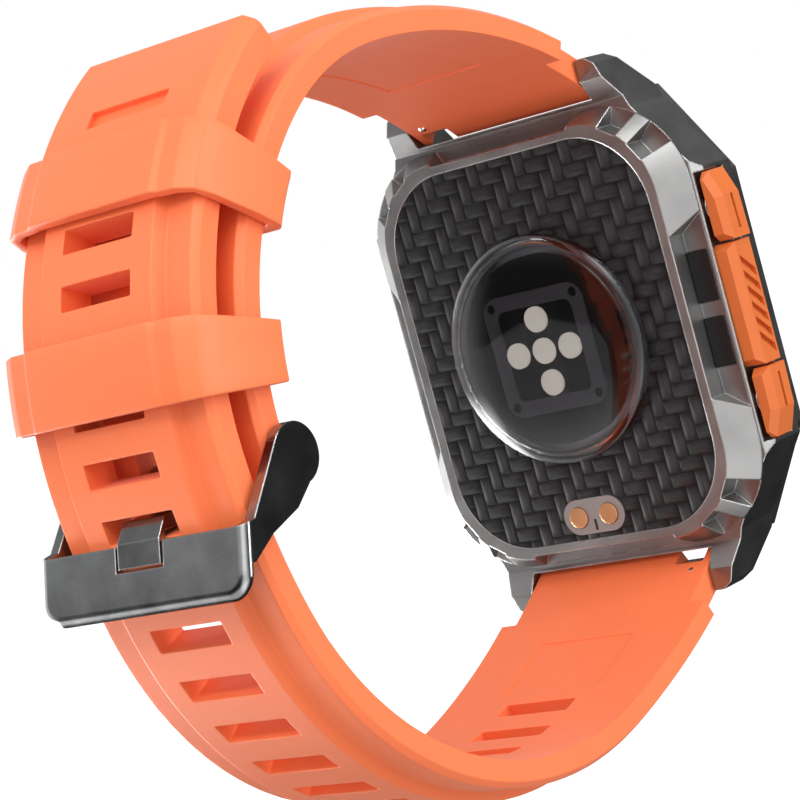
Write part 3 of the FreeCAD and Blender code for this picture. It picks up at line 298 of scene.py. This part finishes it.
blasted = metal_with_worn_highlit_edges("blasted_steel", (0.29, 0.288, 0.286), (0.62, 0.62, 0.61), 0.4,
                     0.00022, 0.00025)
for node in ("mid_frame", "back_ring", "bezel"):
    dressed(node, blasted)


# --- Back plate -----------------------------------------------------------------------------
# A moulded plate of woven carbon under a thin satin resin. The tows are about 1.5 mm wide and
# cross two over, two under, each step one tow to the side, which makes the twill's diagonals.

twill, twill_in, twill_out = shader_group(
    "Twill weave", [("Tow Width", "NodeSocketFloat", 0.0015)],
    [("Height", "NodeSocketFloat"), ("Shade", "NodeSocketFloat")])
across = twill.nodes.new("ShaderNodeSeparateXYZ")
twill.links.new(own_place(twill), across.inputs[0])
u = calculate(twill, "DIVIDE", across.outputs["X"], twill_in.outputs["Tow Width"])
v = calculate(twill, "DIVIDE", across.outputs["Z"], twill_in.outputs["Tow Width"])
u_in_tow = calculate(twill, "FRACT", u)
v_in_tow = calculate(twill, "FRACT", v)
step = calculate(twill, "ADD", calculate(twill, "FLOOR", u), calculate(twill, "FLOOR", v))
turn_of_four = calculate(twill, "FLOORED_MODULO", step, 4.0)
weft_on_top = calculate(twill, "LESS_THAN", turn_of_four, 1.5)
warp_on_top = calculate(twill, "SUBTRACT", 1.0, weft_on_top)


def float_height(begin, along, sideways):
    """A tow's rise along its float of two crossings, rounded across its width."""
    travel = calculate(twill, "MULTIPLY", calculate(twill, "ADD", begin, along), math.pi / 2)
    arch = calculate(twill, "POWER", calculate(twill, "SINE", travel), 0.7)
    offset = calculate(twill, "MULTIPLY_ADD", sideways, 2.0, -1.0)
    crown = calculate(twill, "SUBTRACT", 1.0,
                      calculate(twill, "POWER", calculate(twill, "ABSOLUTE", offset), 3.0))
    return calculate(twill, "MULTIPLY", arch, crown)


weft = float_height(turn_of_four, u_in_tow, v_in_tow)
warp = float_height(calculate(twill, "SUBTRACT", turn_of_four, 2.0), v_in_tow, u_in_tow)
shown = calculate(twill, "ADD", calculate(twill, "MULTIPLY", weft, weft_on_top),
                  calculate(twill, "MULTIPLY", warp, warp_on_top))
twill.links.new(shown, twill_out.inputs["Height"])
weft_fibres = noise(twill, own_place(twill), 1.0, 2.0, (700.0, 700.0, 9000.0))
warp_fibres = noise(twill, own_place(twill), 1.0, 2.0, (9000.0, 700.0, 700.0))
fibres = calculate(twill, "ADD", calculate(twill, "MULTIPLY", weft_fibres, weft_on_top),
                   calculate(twill, "MULTIPLY", warp_fibres, warp_on_top))
# The weave's tone is painted sheen: lighter on each tow's crown and along its fibres, and lighter
# on the warp tows than the weft, as light would catch them.
warp_sheen_lift = calculate(twill, "MULTIPLY_ADD", warp_on_top, 0.25, 0.75)
lit = calculate(twill, "MULTIPLY", calculate(twill, "MULTIPLY", fibres, shown), warp_sheen_lift)
twill.links.new(lit, twill_out.inputs["Shade"])

carbon, tree, shader = new_material("woven_carbon", (0.02, 0.02, 0.021), 0.4)
weave = place_group(tree, twill, Tow_Width=0.00156)
# The plate's colour runs from near black to grey by the weave's painted sheen.
feed(tree, [shader.inputs["Base Color"]],
     [blend_colours(tree, weave.outputs["Shade"], (0.001, 0.0011, 0.0013), (0.075, 0.083, 0.092))])
feed(tree, [shader.inputs["Normal"]], [bumped(tree, weave.outputs["Height"], 0.7, 0.00018)])
shader.inputs["Specular IOR Level"].default_value = 0.22
dressed("back_plate", carbon)


# --- Sensor ---------------------------------------------------------------------------------
# A shallow dome of smoked glass stands proud of the plate. Under it are the grey bracket with
# its four holes, the five cream lenses in a cross, and the black carrier they are set in.

def polished_glass(name, tint, roughness=0.02):
    """Glass that also lets lamps through to what it covers."""
    made, tree, shader = new_material(name, tint, roughness)
    shader.inputs["Transmission Weight"].default_value = 1.0
    shader.inputs["IOR"].default_value = 1.5
    smears = noise(tree, own_place(tree), 350.0, 2.0)
    feed(tree, [shader.inputs["Roughness"]],
         [calculate(tree, "MULTIPLY_ADD", smears, 0.03, roughness - 0.01)])
    clear = tree.nodes.new("ShaderNodeBsdfTransparent")
    clear.inputs[0].default_value = (*tint, 1)
    ray = tree.nodes.new("ShaderNodeLightPath")
    either = tree.nodes.new("ShaderNodeMixShader")
    feed(tree, either.inputs, [ray.outputs["Is Shadow Ray"], shader.outputs[0],
                               clear.outputs[0]])
    tree.links.new(either.outputs[0], tree.nodes["Material Output"].inputs["Surface"])
    return made


def turned(name, outline, material, steps=96):
    """Turn an outline of (radius, depth) points about the case's depth axis."""
    mesh = bmesh.new()
    rings = []
    for radius, depth in outline:
        if radius == 0:
            rings.append([mesh.verts.new((0, depth, 0))])
            continue
        rings.append([mesh.verts.new((radius * math.cos(math.tau * i / steps), depth,
                                      radius * math.sin(math.tau * i / steps)))
                      for i in range(steps)])
    for one, other in zip(rings, rings[1:]):
        for i in range(steps):
            corners = [one[i % len(one)], one[(i + 1) % len(one)],
                       other[(i + 1) % len(other)], other[i % len(other)]]
            mesh.faces.new(list(dict.fromkeys(corners)))
    return finished(name, mesh, material)


def finished(name, mesh, material, smooth=True):
    """Turn a bmesh into an object with a material."""
    bmesh.ops.recalc_face_normals(mesh, faces=mesh.faces)
    data = bpy.data.meshes.new(name)
    mesh.to_mesh(data)
    mesh.free()
    for face in data.polygons:
        face.use_smooth = smooth
    data.materials.append(material)
    made = bpy.data.objects.new(name, data)
    bpy.context.scene.collection.objects.link(made)
    return made


window_radius = 12.5 * mm
dome_rise = 1.0 * mm
dome_wall = 0.35 * mm
window_foot = -3.1 * mm
dome_steps = 14


def dome(radius, top):
    """Points down the dome from its crown to its rim, rounder towards the rim."""
    return [(radius * i / dome_steps, top - dome_rise * (i / dome_steps) ** 3.2)
            for i in range(dome_steps + 1)]


inside = window_radius - 0.9 * mm
outline = dome(window_radius - 0.25 * mm, 0.0)
outline += [(window_radius - 0.06 * mm, -dome_rise - 0.12 * mm),
            (window_radius, -dome_rise - 0.35 * mm), (window_radius, window_foot),
            (inside, window_foot)]
outline += reversed(dome(inside, -dome_wall))
window = turned("sensor_dome", outline, polished_glass("smoked_glass", (0.46, 0.46, 0.48)))
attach(window, "case")
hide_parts("sensor_window")


def moulded(name, colour, roughness, grain_size=0.0003, bump=0.15, mottle=0.12):
    """Moulded plastic: an even colour with a faint grain and mottle."""
    made, tree, shader = new_material(name, colour, roughness)
    surface = place_group(tree, grain, Grain_Size=grain_size)
    darker = tuple(c * (1 - mottle) for c in colour)
    lighter = tuple(min(1.0, c * (1 + mottle)) for c in colour)
    feed(tree, [shader.inputs["Base Color"]],
         [blend_colours(tree, surface.outputs["Mottle"], darker, lighter)])
    feed(tree, [shader.inputs["Normal"]],
         [bumped(tree, surface.outputs["Height"], bump, 0.00003)])
    return made


cream_with_painted_glow = moulded("cream_lens_painted_glow", (0.93, 0.87, 0.72), 0.25, bump=0.05, mottle=0.04)
# The lenses glow with a painted light: an emission of 0.6, though they are no lamp.
cream_with_painted_glow.node_tree.nodes["Principled BSDF"].inputs["Emission Color"].default_value = (
    1.0, 0.95, 0.82, 1)
cream_with_painted_glow.node_tree.nodes["Principled BSDF"].inputs["Emission Strength"].default_value = 0.6
dressed("sensor_lenses", cream_with_painted_glow)
dressed("sensor_bracket", moulded("grey_bracket", (0.14, 0.14, 0.15), 0.5))
dressed("sensor_carrier", moulded("black_carrier", (0.002, 0.002, 0.002), 0.7))


# --- Charging pad ---------------------------------------------------------------------------
# A light grey oblong of plastic set into the plate, with two copper-plated contacts and a
# short black key line between them.

dressed("charging_pad", moulded("pad_plastic", (0.27, 0.27, 0.265), 0.45))
dressed("charging_contacts", metal_with_worn_highlit_edges("copper_plating", (0.72, 0.36, 0.17),
                                        (0.9, 0.6, 0.35), 0.38, 0.0002, 0.0001))

key_line = bmesh.new()
bmesh.ops.create_cube(key_line, size=1.0)
bmesh.ops.scale(key_line, vec=(0.28 * mm, 0.2 * mm, 1.2 * mm), verts=key_line.verts)
bmesh.ops.translate(key_line, vec=(0.0, -1.95 * mm, -19.6 * mm), verts=key_line.verts)
mark = finished("charging_key_line", key_line, bpy.data.materials["black_carrier"], smooth=False)
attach(mark, "case")


# --- Speaker mesh ---------------------------------------------------------------------------
# Fine dark wire cloth behind the two openings in the ring.

cloth, tree, shader = new_material("wire_cloth", (0.02, 0.02, 0.02), 0.45, 0.8)
wires = tree.nodes.new("ShaderNodeTexChecker")
feed(tree, [wires.inputs["Vector"], wires.inputs["Color1"], wires.inputs["Color2"],
            wires.inputs["Scale"]],
     [own_place(tree), (0.045, 0.045, 0.046, 1), (0.02, 0.02, 0.021, 1), 6000.0])
feed(tree, [shader.inputs["Base Color"]], [wires.outputs["Color"]])
dressed("speaker_mesh", cloth)


# --- Flank bars and buttons -----------------------------------------------------------------
# Orange anodised blocks with chamfered edges: a sprung button at each end of the left flank,
# a hatched guard between them, and one long guard on the right flank.

orange = moulded("orange_block", (0.66, 0.15, 0.03), 0.42, grain_size=0.00018, bump=0.2,
                 mottle=0.05)
for node in ("upper_button", "lower_button", "left_guard", "right_guard"):
    dressed(node, orange)


# --- Dial side ------------------------------------------------------------------------------
# Flat glass in the bezel with a black gasket and the dark display behind it, and four small
# screws with round keys that clamp the bezel to the frame.

dressed("display_glass", polished_glass("clear_glass", (0.8, 0.8, 0.82)))
dressed("display_gasket", moulded("black_rubber", (0.012, 0.012, 0.012), 0.6))
dressed("display_panel", moulded("dark_display", (0.004, 0.004, 0.006), 0.12, bump=0.0))
bright_steel = metal_with_worn_highlit_edges("polished_steel", (0.62, 0.61, 0.59), (0.8, 0.8, 0.78), 0.16,
                          0.0002, 0.00008, bump=0.05)
dressed("bezel_screws", bright_steel)


# --- Inside the case ------------------------------------------------------------------------
# Black chassis, green board, foil-wrapped cell, motor, speaker, microphone, antenna, switches
# and seals. They show only when the case is taken apart.

for node in ("chassis", "speaker", "button_switches"):
    dressed(node, moulded(f"{node}_plastic", (0.02, 0.02, 0.022), 0.5))
for node in ("microphone", "gps_antenna"):
    dressed(node, moulded(f"{node}_ceramic", (0.3, 0.29, 0.27), 0.45))
for node in ("back_seal", "button_seals"):
    dressed(node, bpy.data.materials["black_rubber"])
dressed("main_board", moulded("board_lacquer", (0.012, 0.1, 0.04), 0.3, mottle=0.3))
dressed("battery", metal_with_worn_highlit_edges("cell_foil", (0.6, 0.61, 0.63), (0.8, 0.8, 0.8), 0.4, 0.0004,
                              0.0001))
drawn_wire = metal_with_worn_highlit_edges("drawn_wire", (0.45, 0.45, 0.45), (0.7, 0.7, 0.7), 0.3, 0.0002,
                        0.00005)
for node in ("vibration_motor", "upper_button_spring", "lower_button_spring",
             "upper_button_clip", "lower_button_clip"):
    dressed(node, drawn_wire)


# --- Strap halves ---------------------------------------------------------------------------
# Two halves moulded in orange silicone. Each has a raised centre band between lower shoulders
# with bevelled edges, and closes round a spring bar at its lug. The slotted half passes
# through the buckle and its tail lies over the other half.

def arc_from(point, heading, radius, sweep):
    """The arc (centre, radius, start, sweep) that leaves a (y, z) point along a heading."""
    side = math.copysign(1, sweep)
    centre = point + Vector((-math.sin(heading), math.cos(heading))) * radius * side
    start = math.atan2(point.y - centre.y, point.x - centre.x)
    return centre, radius, start, sweep


def arc_to(point, heading, end):
    """The arc that leaves a point along a heading and passes through the end."""
    ahead = (end - point).dot(Vector((math.cos(heading), math.sin(heading))))
    aside = (end - point).dot(Vector((-math.sin(heading), math.cos(heading))))
    return arc_from(point, heading, (ahead ** 2 + aside ** 2) / (2 * abs(aside)),
                    2 * math.atan2(aside, ahead))


def arc_point(arc, share, offset=0.0):
    """A point at a share of an arc, moved outwards by an offset."""
    centre, radius, start, sweep = arc
    angle = start + sweep * share
    return centre + Vector((math.cos(angle), math.sin(angle))) * (radius + offset)


def strap_arcs(side, heading, radius, sweep, end, end_heading, share):
    """The inner line of a strap half, from its lug to the buckle pin, in three arcs."""
    turn = math.copysign(1, sweep)
    hub = Vector((-5.9 * mm, 26.6 * mm * side))
    begin = hub + Vector((-math.sin(heading), math.cos(heading))) * hub_radius * turn
    first = arc_from(begin, heading, radius, sweep)
    point, heading = arc_point(first, 1), heading + sweep
    go = Vector((math.cos(heading), math.sin(heading)))
    arrive = Vector((math.cos(end_heading), math.sin(end_heading)))
    span = end - point
    a = 2 * share * (1 - go.dot(arrive))
    b = 2 * (span.dot(go) + share * span.dot(arrive))
    reach = (-b + math.sqrt(b * b + 4 * a * span.dot(span))) / (2 * a)
    weight = 1 / (1 + share)
    joint = (point + go * reach) * (1 - weight) + (end - arrive * reach * share) * weight
    second = arc_to(point, heading, joint)
    return [first, second, arc_to(joint, heading + second[3], end)]


strap_thick = 3.8 * mm
hub_radius = 1.9 * mm
layer = strap_thick + 1.4 * mm
pin = Vector((57.0 * mm, 0.7 * mm))
pin_heading = math.radians(-94.9)
tail_angle = math.radians(61.0)
buckle_end = pin + Vector((math.sin(pin_heading), -math.cos(pin_heading))) * hub_radius
short_arcs = strap_arcs(1, math.radians(36.4), 51.4 * mm, math.radians(-40.4), buckle_end,
                        pin_heading, 2.6)
long_arcs = strap_arcs(-1, math.radians(-32.2), 81.0 * mm, math.radians(17.5),
                       arc_point(short_arcs[2], 1, layer), pin_heading + math.pi, 0.2)
upper_arc, lower_arc = short_arcs[1:]
tail_arcs = [(lower_arc[0], lower_arc[1] + layer, lower_arc[2] + lower_arc[3], -lower_arc[3]),
             (upper_arc[0], upper_arc[1] + layer, upper_arc[2] + upper_arc[3],
              tail_angle - upper_arc[2] - upper_arc[3])]


def arc_length(arc):
    return arc[1] * abs(arc[3])


def along(arcs, distance, offset):
    """The (y, z) point at a distance along a chain of arcs, moved outwards by an offset."""
    for arc in arcs[:-1]:
        if distance <= arc_length(arc):
            return arc_point(arc, distance / arc_length(arc), offset)
        distance -= arc_length(arc)
    return arc_point(arcs[-1], distance / arc_length(arcs[-1]), offset)


def with_edges(edges, ease, gap):
    """Grid lines at each edge and close to it on both sides, and no gap wider than asked."""
    lines = set()
    low, high = min(edges), max(edges)
    for edge in edges:
        lines.update(round(x, 7) for x in (edge - ease, edge, edge + ease) if low <= x <= high)
    ordered = sorted(lines)
    for start, stop in zip(ordered, ordered[1:]):
        parts_between = max(1, math.ceil((stop - start) / gap))
        lines.update(start + (stop - start) * i / parts_between
                     for i in range(1, parts_between))
    return sorted(lines)


def grid_solid(name, lines, filled, place, material, smoothing):
    """The skin of the filled cells of a grid that place() bends into shape, rounded off."""
    middles = [[(a + b) / 2 for a, b in zip(axis, axis[1:])] for axis in lines]
    cells = {(i, j, k) for i, x in enumerate(middles[0]) for j, s in enumerate(middles[1])
             for k, h in enumerate(middles[2]) if filled(x, s, h)}
    mesh = bmesh.new()
    corners = {}

    def corner(key):
        if key not in corners:
            corners[key] = mesh.verts.new(place(*(axis[n] for axis, n in zip(lines, key))))
        return corners[key]

    for cell in cells:
        for axis in range(3):
            for way in (-1, 1):
                beside = tuple(n + way * (a == axis) for a, n in enumerate(cell))
                if beside in cells:
                    continue
                quad = []
                for first, second in ((0, 0), (1, 0), (1, 1), (0, 1)):
                    shift = [first, second]
                    shift.insert(axis, 1 if way > 0 else 0)
                    quad.append(corner(tuple(n + d for n, d in zip(cell, shift))))
                mesh.faces.new(quad)
    made = finished(name, mesh, material)
    rounding = made.modifiers.new("rounding", "SUBSURF")
    rounding.levels = rounding.render_levels = smoothing
    return made


silicone = moulded("orange_silicone", (0.96, 0.19, 0.055), 0.46, grain_size=0.00025, bump=0.12,
                   mottle=0.03)
silicone.node_tree.nodes["Principled BSDF"].inputs["Sheen Weight"].default_value = 0.15

strap_half = 13.7 * mm
tab_half = 11.7 * mm
band_foot = 8.0 * mm
band_bevel = 0.8 * mm
shoulder = 2.7 * mm
slot_half = 4.55 * mm
slot_width = 2.2 * mm
slot_pitch = 5.25 * mm
tail_slot_pitch = 5.0 * mm
side_bevel = 0.9 * mm
side_drop = 0.6 * mm
recess_half = 6.2 * mm
recess_depth = 0.14 * mm
end_reach = 1.0 * mm
knob_notch = (7.2 * mm, 10.7 * mm)
notch_reach = 1.1 * mm
lug_tip = 29.4 * mm
tip_recess_half = 5.3 * mm
tip_recess_floor = shoulder + 0.4 * mm
recess_lead = 4.0 * mm


def strap_place(arcs, end_half, tail_half):
    """How a strap half's grid bends: along its arcs, narrower to the buckle, bevels cut."""
    def place(x, s, h):
        centre_line = along(arcs, s, 0)
        half = strap_half - (strap_half - end_half) * centre_line.x / pin.x
        if s > sum(arc_length(arc) for arc in arcs[:3]) * 0.8:
            half = min(half, tail_half)
        size, side = abs(x), math.copysign(1, x)
        beyond = (size - band_foot) / (strap_half - band_foot)
        if beyond > 0:
            size = band_foot + beyond * (half - band_foot)
            cut = max(0.0, 1 - (strap_half - abs(x)) / side_bevel)
            h *= 1 - side_drop * cut / shoulder
        if h > shoulder:
            rise = (h - shoulder) / (strap_thick - shoulder)
            near_edge = min(1.0, max(0.0, (size - slot_half) / (band_foot - slot_half)))
            size -= band_bevel * rise * near_edge
        y, z = along(arcs, s, h)
        return size * side, y, z
    return place


ease = 0.22 * mm
across_edges = [strap_half, strap_half - side_bevel, tab_half, *knob_notch, band_foot,
                recess_half, tip_recess_half, slot_half]
across_spacing = 2.4 * mm
across_lines = with_edges([-x for x in across_edges] + across_edges, ease, across_spacing)
height_lines = with_edges([0.0, recess_depth, hub_radius, shoulder, tip_recess_floor,
                           strap_thick], 0.07 * mm, 1.2 * mm)

long_chain = long_arcs + tail_arcs
long_run = sum(arc_length(arc) for arc in long_arcs)
long_total = long_run + sum(arc_length(arc) for arc in tail_arcs)
slot_lead = 2.3 * mm
slots = [long_run - slot_lead - (slot_pitch if count > 0 else tail_slot_pitch) * count
         for count in range(-5, 13)]
tip_recess = long_total - 8.2 * mm
tip_recess_width = 1.8 * mm
full_tip = long_total - 13.5 * mm
long_recess_end = slots[-1] - 3.0 * mm


def lug_distance(arcs):
    """How far along the strap its shoulders have to start to clear the lug tips."""
    distance = 0.0
    while abs(along(arcs, distance, 0).y) < lug_tip and along(arcs, distance, 0).x < 1.5 * mm:
        distance += 0.1 * mm
    return distance


long_start = lug_distance(long_arcs)
short_start = lug_distance(short_arcs)


def long_filled(x, s, h):
    """Where the slotted half holds material."""
    if abs(x) > tab_half and s < long_start:
        return False
    if h > shoulder and abs(x) > band_foot and s < full_tip:
        return False
    if abs(x) < slot_half and any(abs(s - slot) < slot_width / 2 for slot in slots):
        return False
    in_tip_recess = abs(x) < tip_recess_half and abs(s - tip_recess) < tip_recess_width / 2
    if in_tip_recess and h > tip_recess_floor:
        return False
    if knob_notch[0] < -x < knob_notch[1] and s < notch_reach and h < hub_radius:
        return False
    return not (abs(x) < recess_half and h < recess_depth
                and long_start + recess_lead < s < long_recess_end)


station_edges = [-end_reach, 0.0, notch_reach, long_start, long_start + recess_lead,
                 long_recess_end, full_tip, tip_recess - tip_recess_width / 2,
                 tip_recess + tip_recess_width / 2, long_total]
for slot in slots:
    station_edges += [slot - slot_width / 2, slot + slot_width / 2]
station_spacing = 2.2 * mm
long_lines = with_edges(station_edges, ease, station_spacing)
tail_half = 11.6 * mm
long_strap = grid_solid("long_strap_skin", [across_lines, long_lines, height_lines],
                        long_filled, strap_place(long_chain, tail_half, tail_half),
                        silicone, 1)
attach(long_strap, "case")
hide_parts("long_strap")

short_total = sum(arc_length(arc) for arc in short_arcs)
short_recess_end = short_total * 0.72
tongue_gap = 3.1 * mm
tongue_slot = short_total - 3.5 * mm
pin_hub_reach = 2.3 * mm


def short_filled(x, s, h):
    """Where the buckle half holds material."""
    if abs(x) > tab_half and s < short_start:
        return False
    if h > shoulder and abs(x) > band_foot:
        return False
    if abs(x) < tongue_gap and s > tongue_slot:
        return False
    if knob_notch[0] < x < knob_notch[1] and s < notch_reach and h < hub_radius:
        return False
    return not (abs(x) < recess_half and h < recess_depth
                and short_start + recess_lead < s < short_recess_end)


short_edges = [-x for x in across_edges] + across_edges + [-tongue_gap, tongue_gap]
short_lines = with_edges([-end_reach, 0.0, notch_reach, short_start,
                          short_start + recess_lead, short_recess_end, tongue_slot,
                          short_total + pin_hub_reach], ease, station_spacing)
short_strap = grid_solid("short_strap_skin",
                         [with_edges(short_edges, ease, across_spacing), short_lines,
                          height_lines],
                         short_filled, strap_place(short_arcs, tab_half, strap_half),
                         silicone, 1)
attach(short_strap, "case")
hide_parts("short_strap")


# --- Spring bars ----------------------------------------------------------------------------
# A steel tube in each strap's end, a fixed tip, and a sprung pin with a release knob that
# stands in a notch of the strap.

for end in ("upper", "lower"):
    for node in ("bar_tube", "bar_tip", "release_pin"):
        dressed(f"{end}_{node}", bright_steel)
    dressed(f"{end}_bar_spring", drawn_wire)


# --- Keepers --------------------------------------------------------------------------------
# Two silicone loops that hold the tail. Each is stepped like the strap under it, and its
# sides lean outwards to the wider half below.

keeper_spread = 7.3 * mm / (lower_arc[1] + layer + strap_thick)
keeper_top = layer + strap_thick + 1.6 * mm
keeper_low = -1.6 * mm
keeper_half = 13.45 * mm
keeper_inner = 12.15 * mm
outer_side = [(7.9 * mm, keeper_top), (8.5 * mm, keeper_top - 0.45 * mm),
              (10.4 * mm, keeper_top - 0.5 * mm), (12.2 * mm, keeper_top - 1.5 * mm),
              (12.9 * mm, keeper_top - 3.4 * mm), (keeper_half, 2.2 * mm),
              (keeper_half, keeper_low + 0.8 * mm), (keeper_half - 0.8 * mm, keeper_low)]
inner_side = [(7.7 * mm, keeper_top - 1.25 * mm), (8.2 * mm, keeper_top - 1.45 * mm),
              (10.1 * mm, keeper_top - 1.6 * mm), (11.5 * mm, keeper_top - 2.2 * mm),
              (11.8 * mm, keeper_top - 3.8 * mm), (keeper_inner, 2.2 * mm),
              (keeper_inner, -0.1 * mm), (keeper_inner - 0.3 * mm, -0.25 * mm)]


def keeper_ring(side):
    """One wall of the keeper's section as a closed loop of (x, offset) points."""
    return side + [(-x, h) for x, h in reversed(side)]


def keeper(name, degrees):
    """Sweep the keeper's stepped section along the strap for its width."""
    mesh = bmesh.new()
    stations = 7
    loops = []
    for i in range(stations):
        angle = math.radians(degrees) + keeper_spread * (i / (stations - 1) - 0.5)
        arc = (lower_arc[0], lower_arc[1], angle, 0.0)
        loops.append([[mesh.verts.new((x, *arc_point(arc, 0.0, h))) for x, h in keeper_ring(side)]
                      for side in (outer_side, inner_side)])
    count = len(loops[0][0])
    for one, other in zip(loops, loops[1:]):
        for wall in (0, 1):
            for i in range(count):
                after = (i + 1) % count
                mesh.faces.new((one[wall][i], one[wall][after], other[wall][after],
                                other[wall][i]))
    for outer, inner in (loops[0], loops[-1]):
        for i in range(count):
            after = (i + 1) % count
            mesh.faces.new((outer[i], outer[after], inner[after], inner[i]))
    made = finished(name, mesh, silicone)
    bevel = made.modifiers.new("soft_edges", "BEVEL")
    bevel.width = 0.22 * mm
    bevel.segments = 3
    bevel.angle_limit = math.radians(14)
    return made


for end, degrees in (("upper", 36.1), ("lower", 10.7)):
    loop = keeper(f"{end}_keeper_skin", degrees)
    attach(loop, f"{end}_keeper")
    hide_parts(f"{end}_keeper")


# --- Buckle ---------------------------------------------------------------------------------
# A steel frame with a dark vapour coating, polished, with a tongue between two side arms,
# both turning on a pin through the strap's end.

dark_steel = metal_with_worn_highlit_edges("dark_coated_steel", (0.3, 0.305, 0.31), (0.6, 0.6, 0.6), 0.2,
                        0.0002, 0.00022, bump=0.08)
for node in ("buckle_frame", "buckle_tongue", "buckle_pin"):
    dressed(node, dark_steel)


# --- Floor ----------------------------------------------------------------------------------
# A plain pale sheet, far wider than the view, a hand's height below the watch. It is lit from
# within a little, so that it stays as pale as the room.

sheet = bmesh.new()
bmesh.ops.create_circle(sheet, cap_ends=True, segments=96, radius=6.0)
white, tree, shader = new_material("white_floor", (0.9, 0.9, 0.9), 0.9)
shader.inputs["Specular IOR Level"].default_value = 0.0
shader.inputs["Emission Color"].default_value = (1, 1, 1, 1)
shader.inputs["Emission Strength"].default_value = 0.3
floor = finished("floor", sheet, white)
floor.location.z = cad_box[0].z - 0.08
floor.visible_diffuse = False
floor.visible_glossy = False
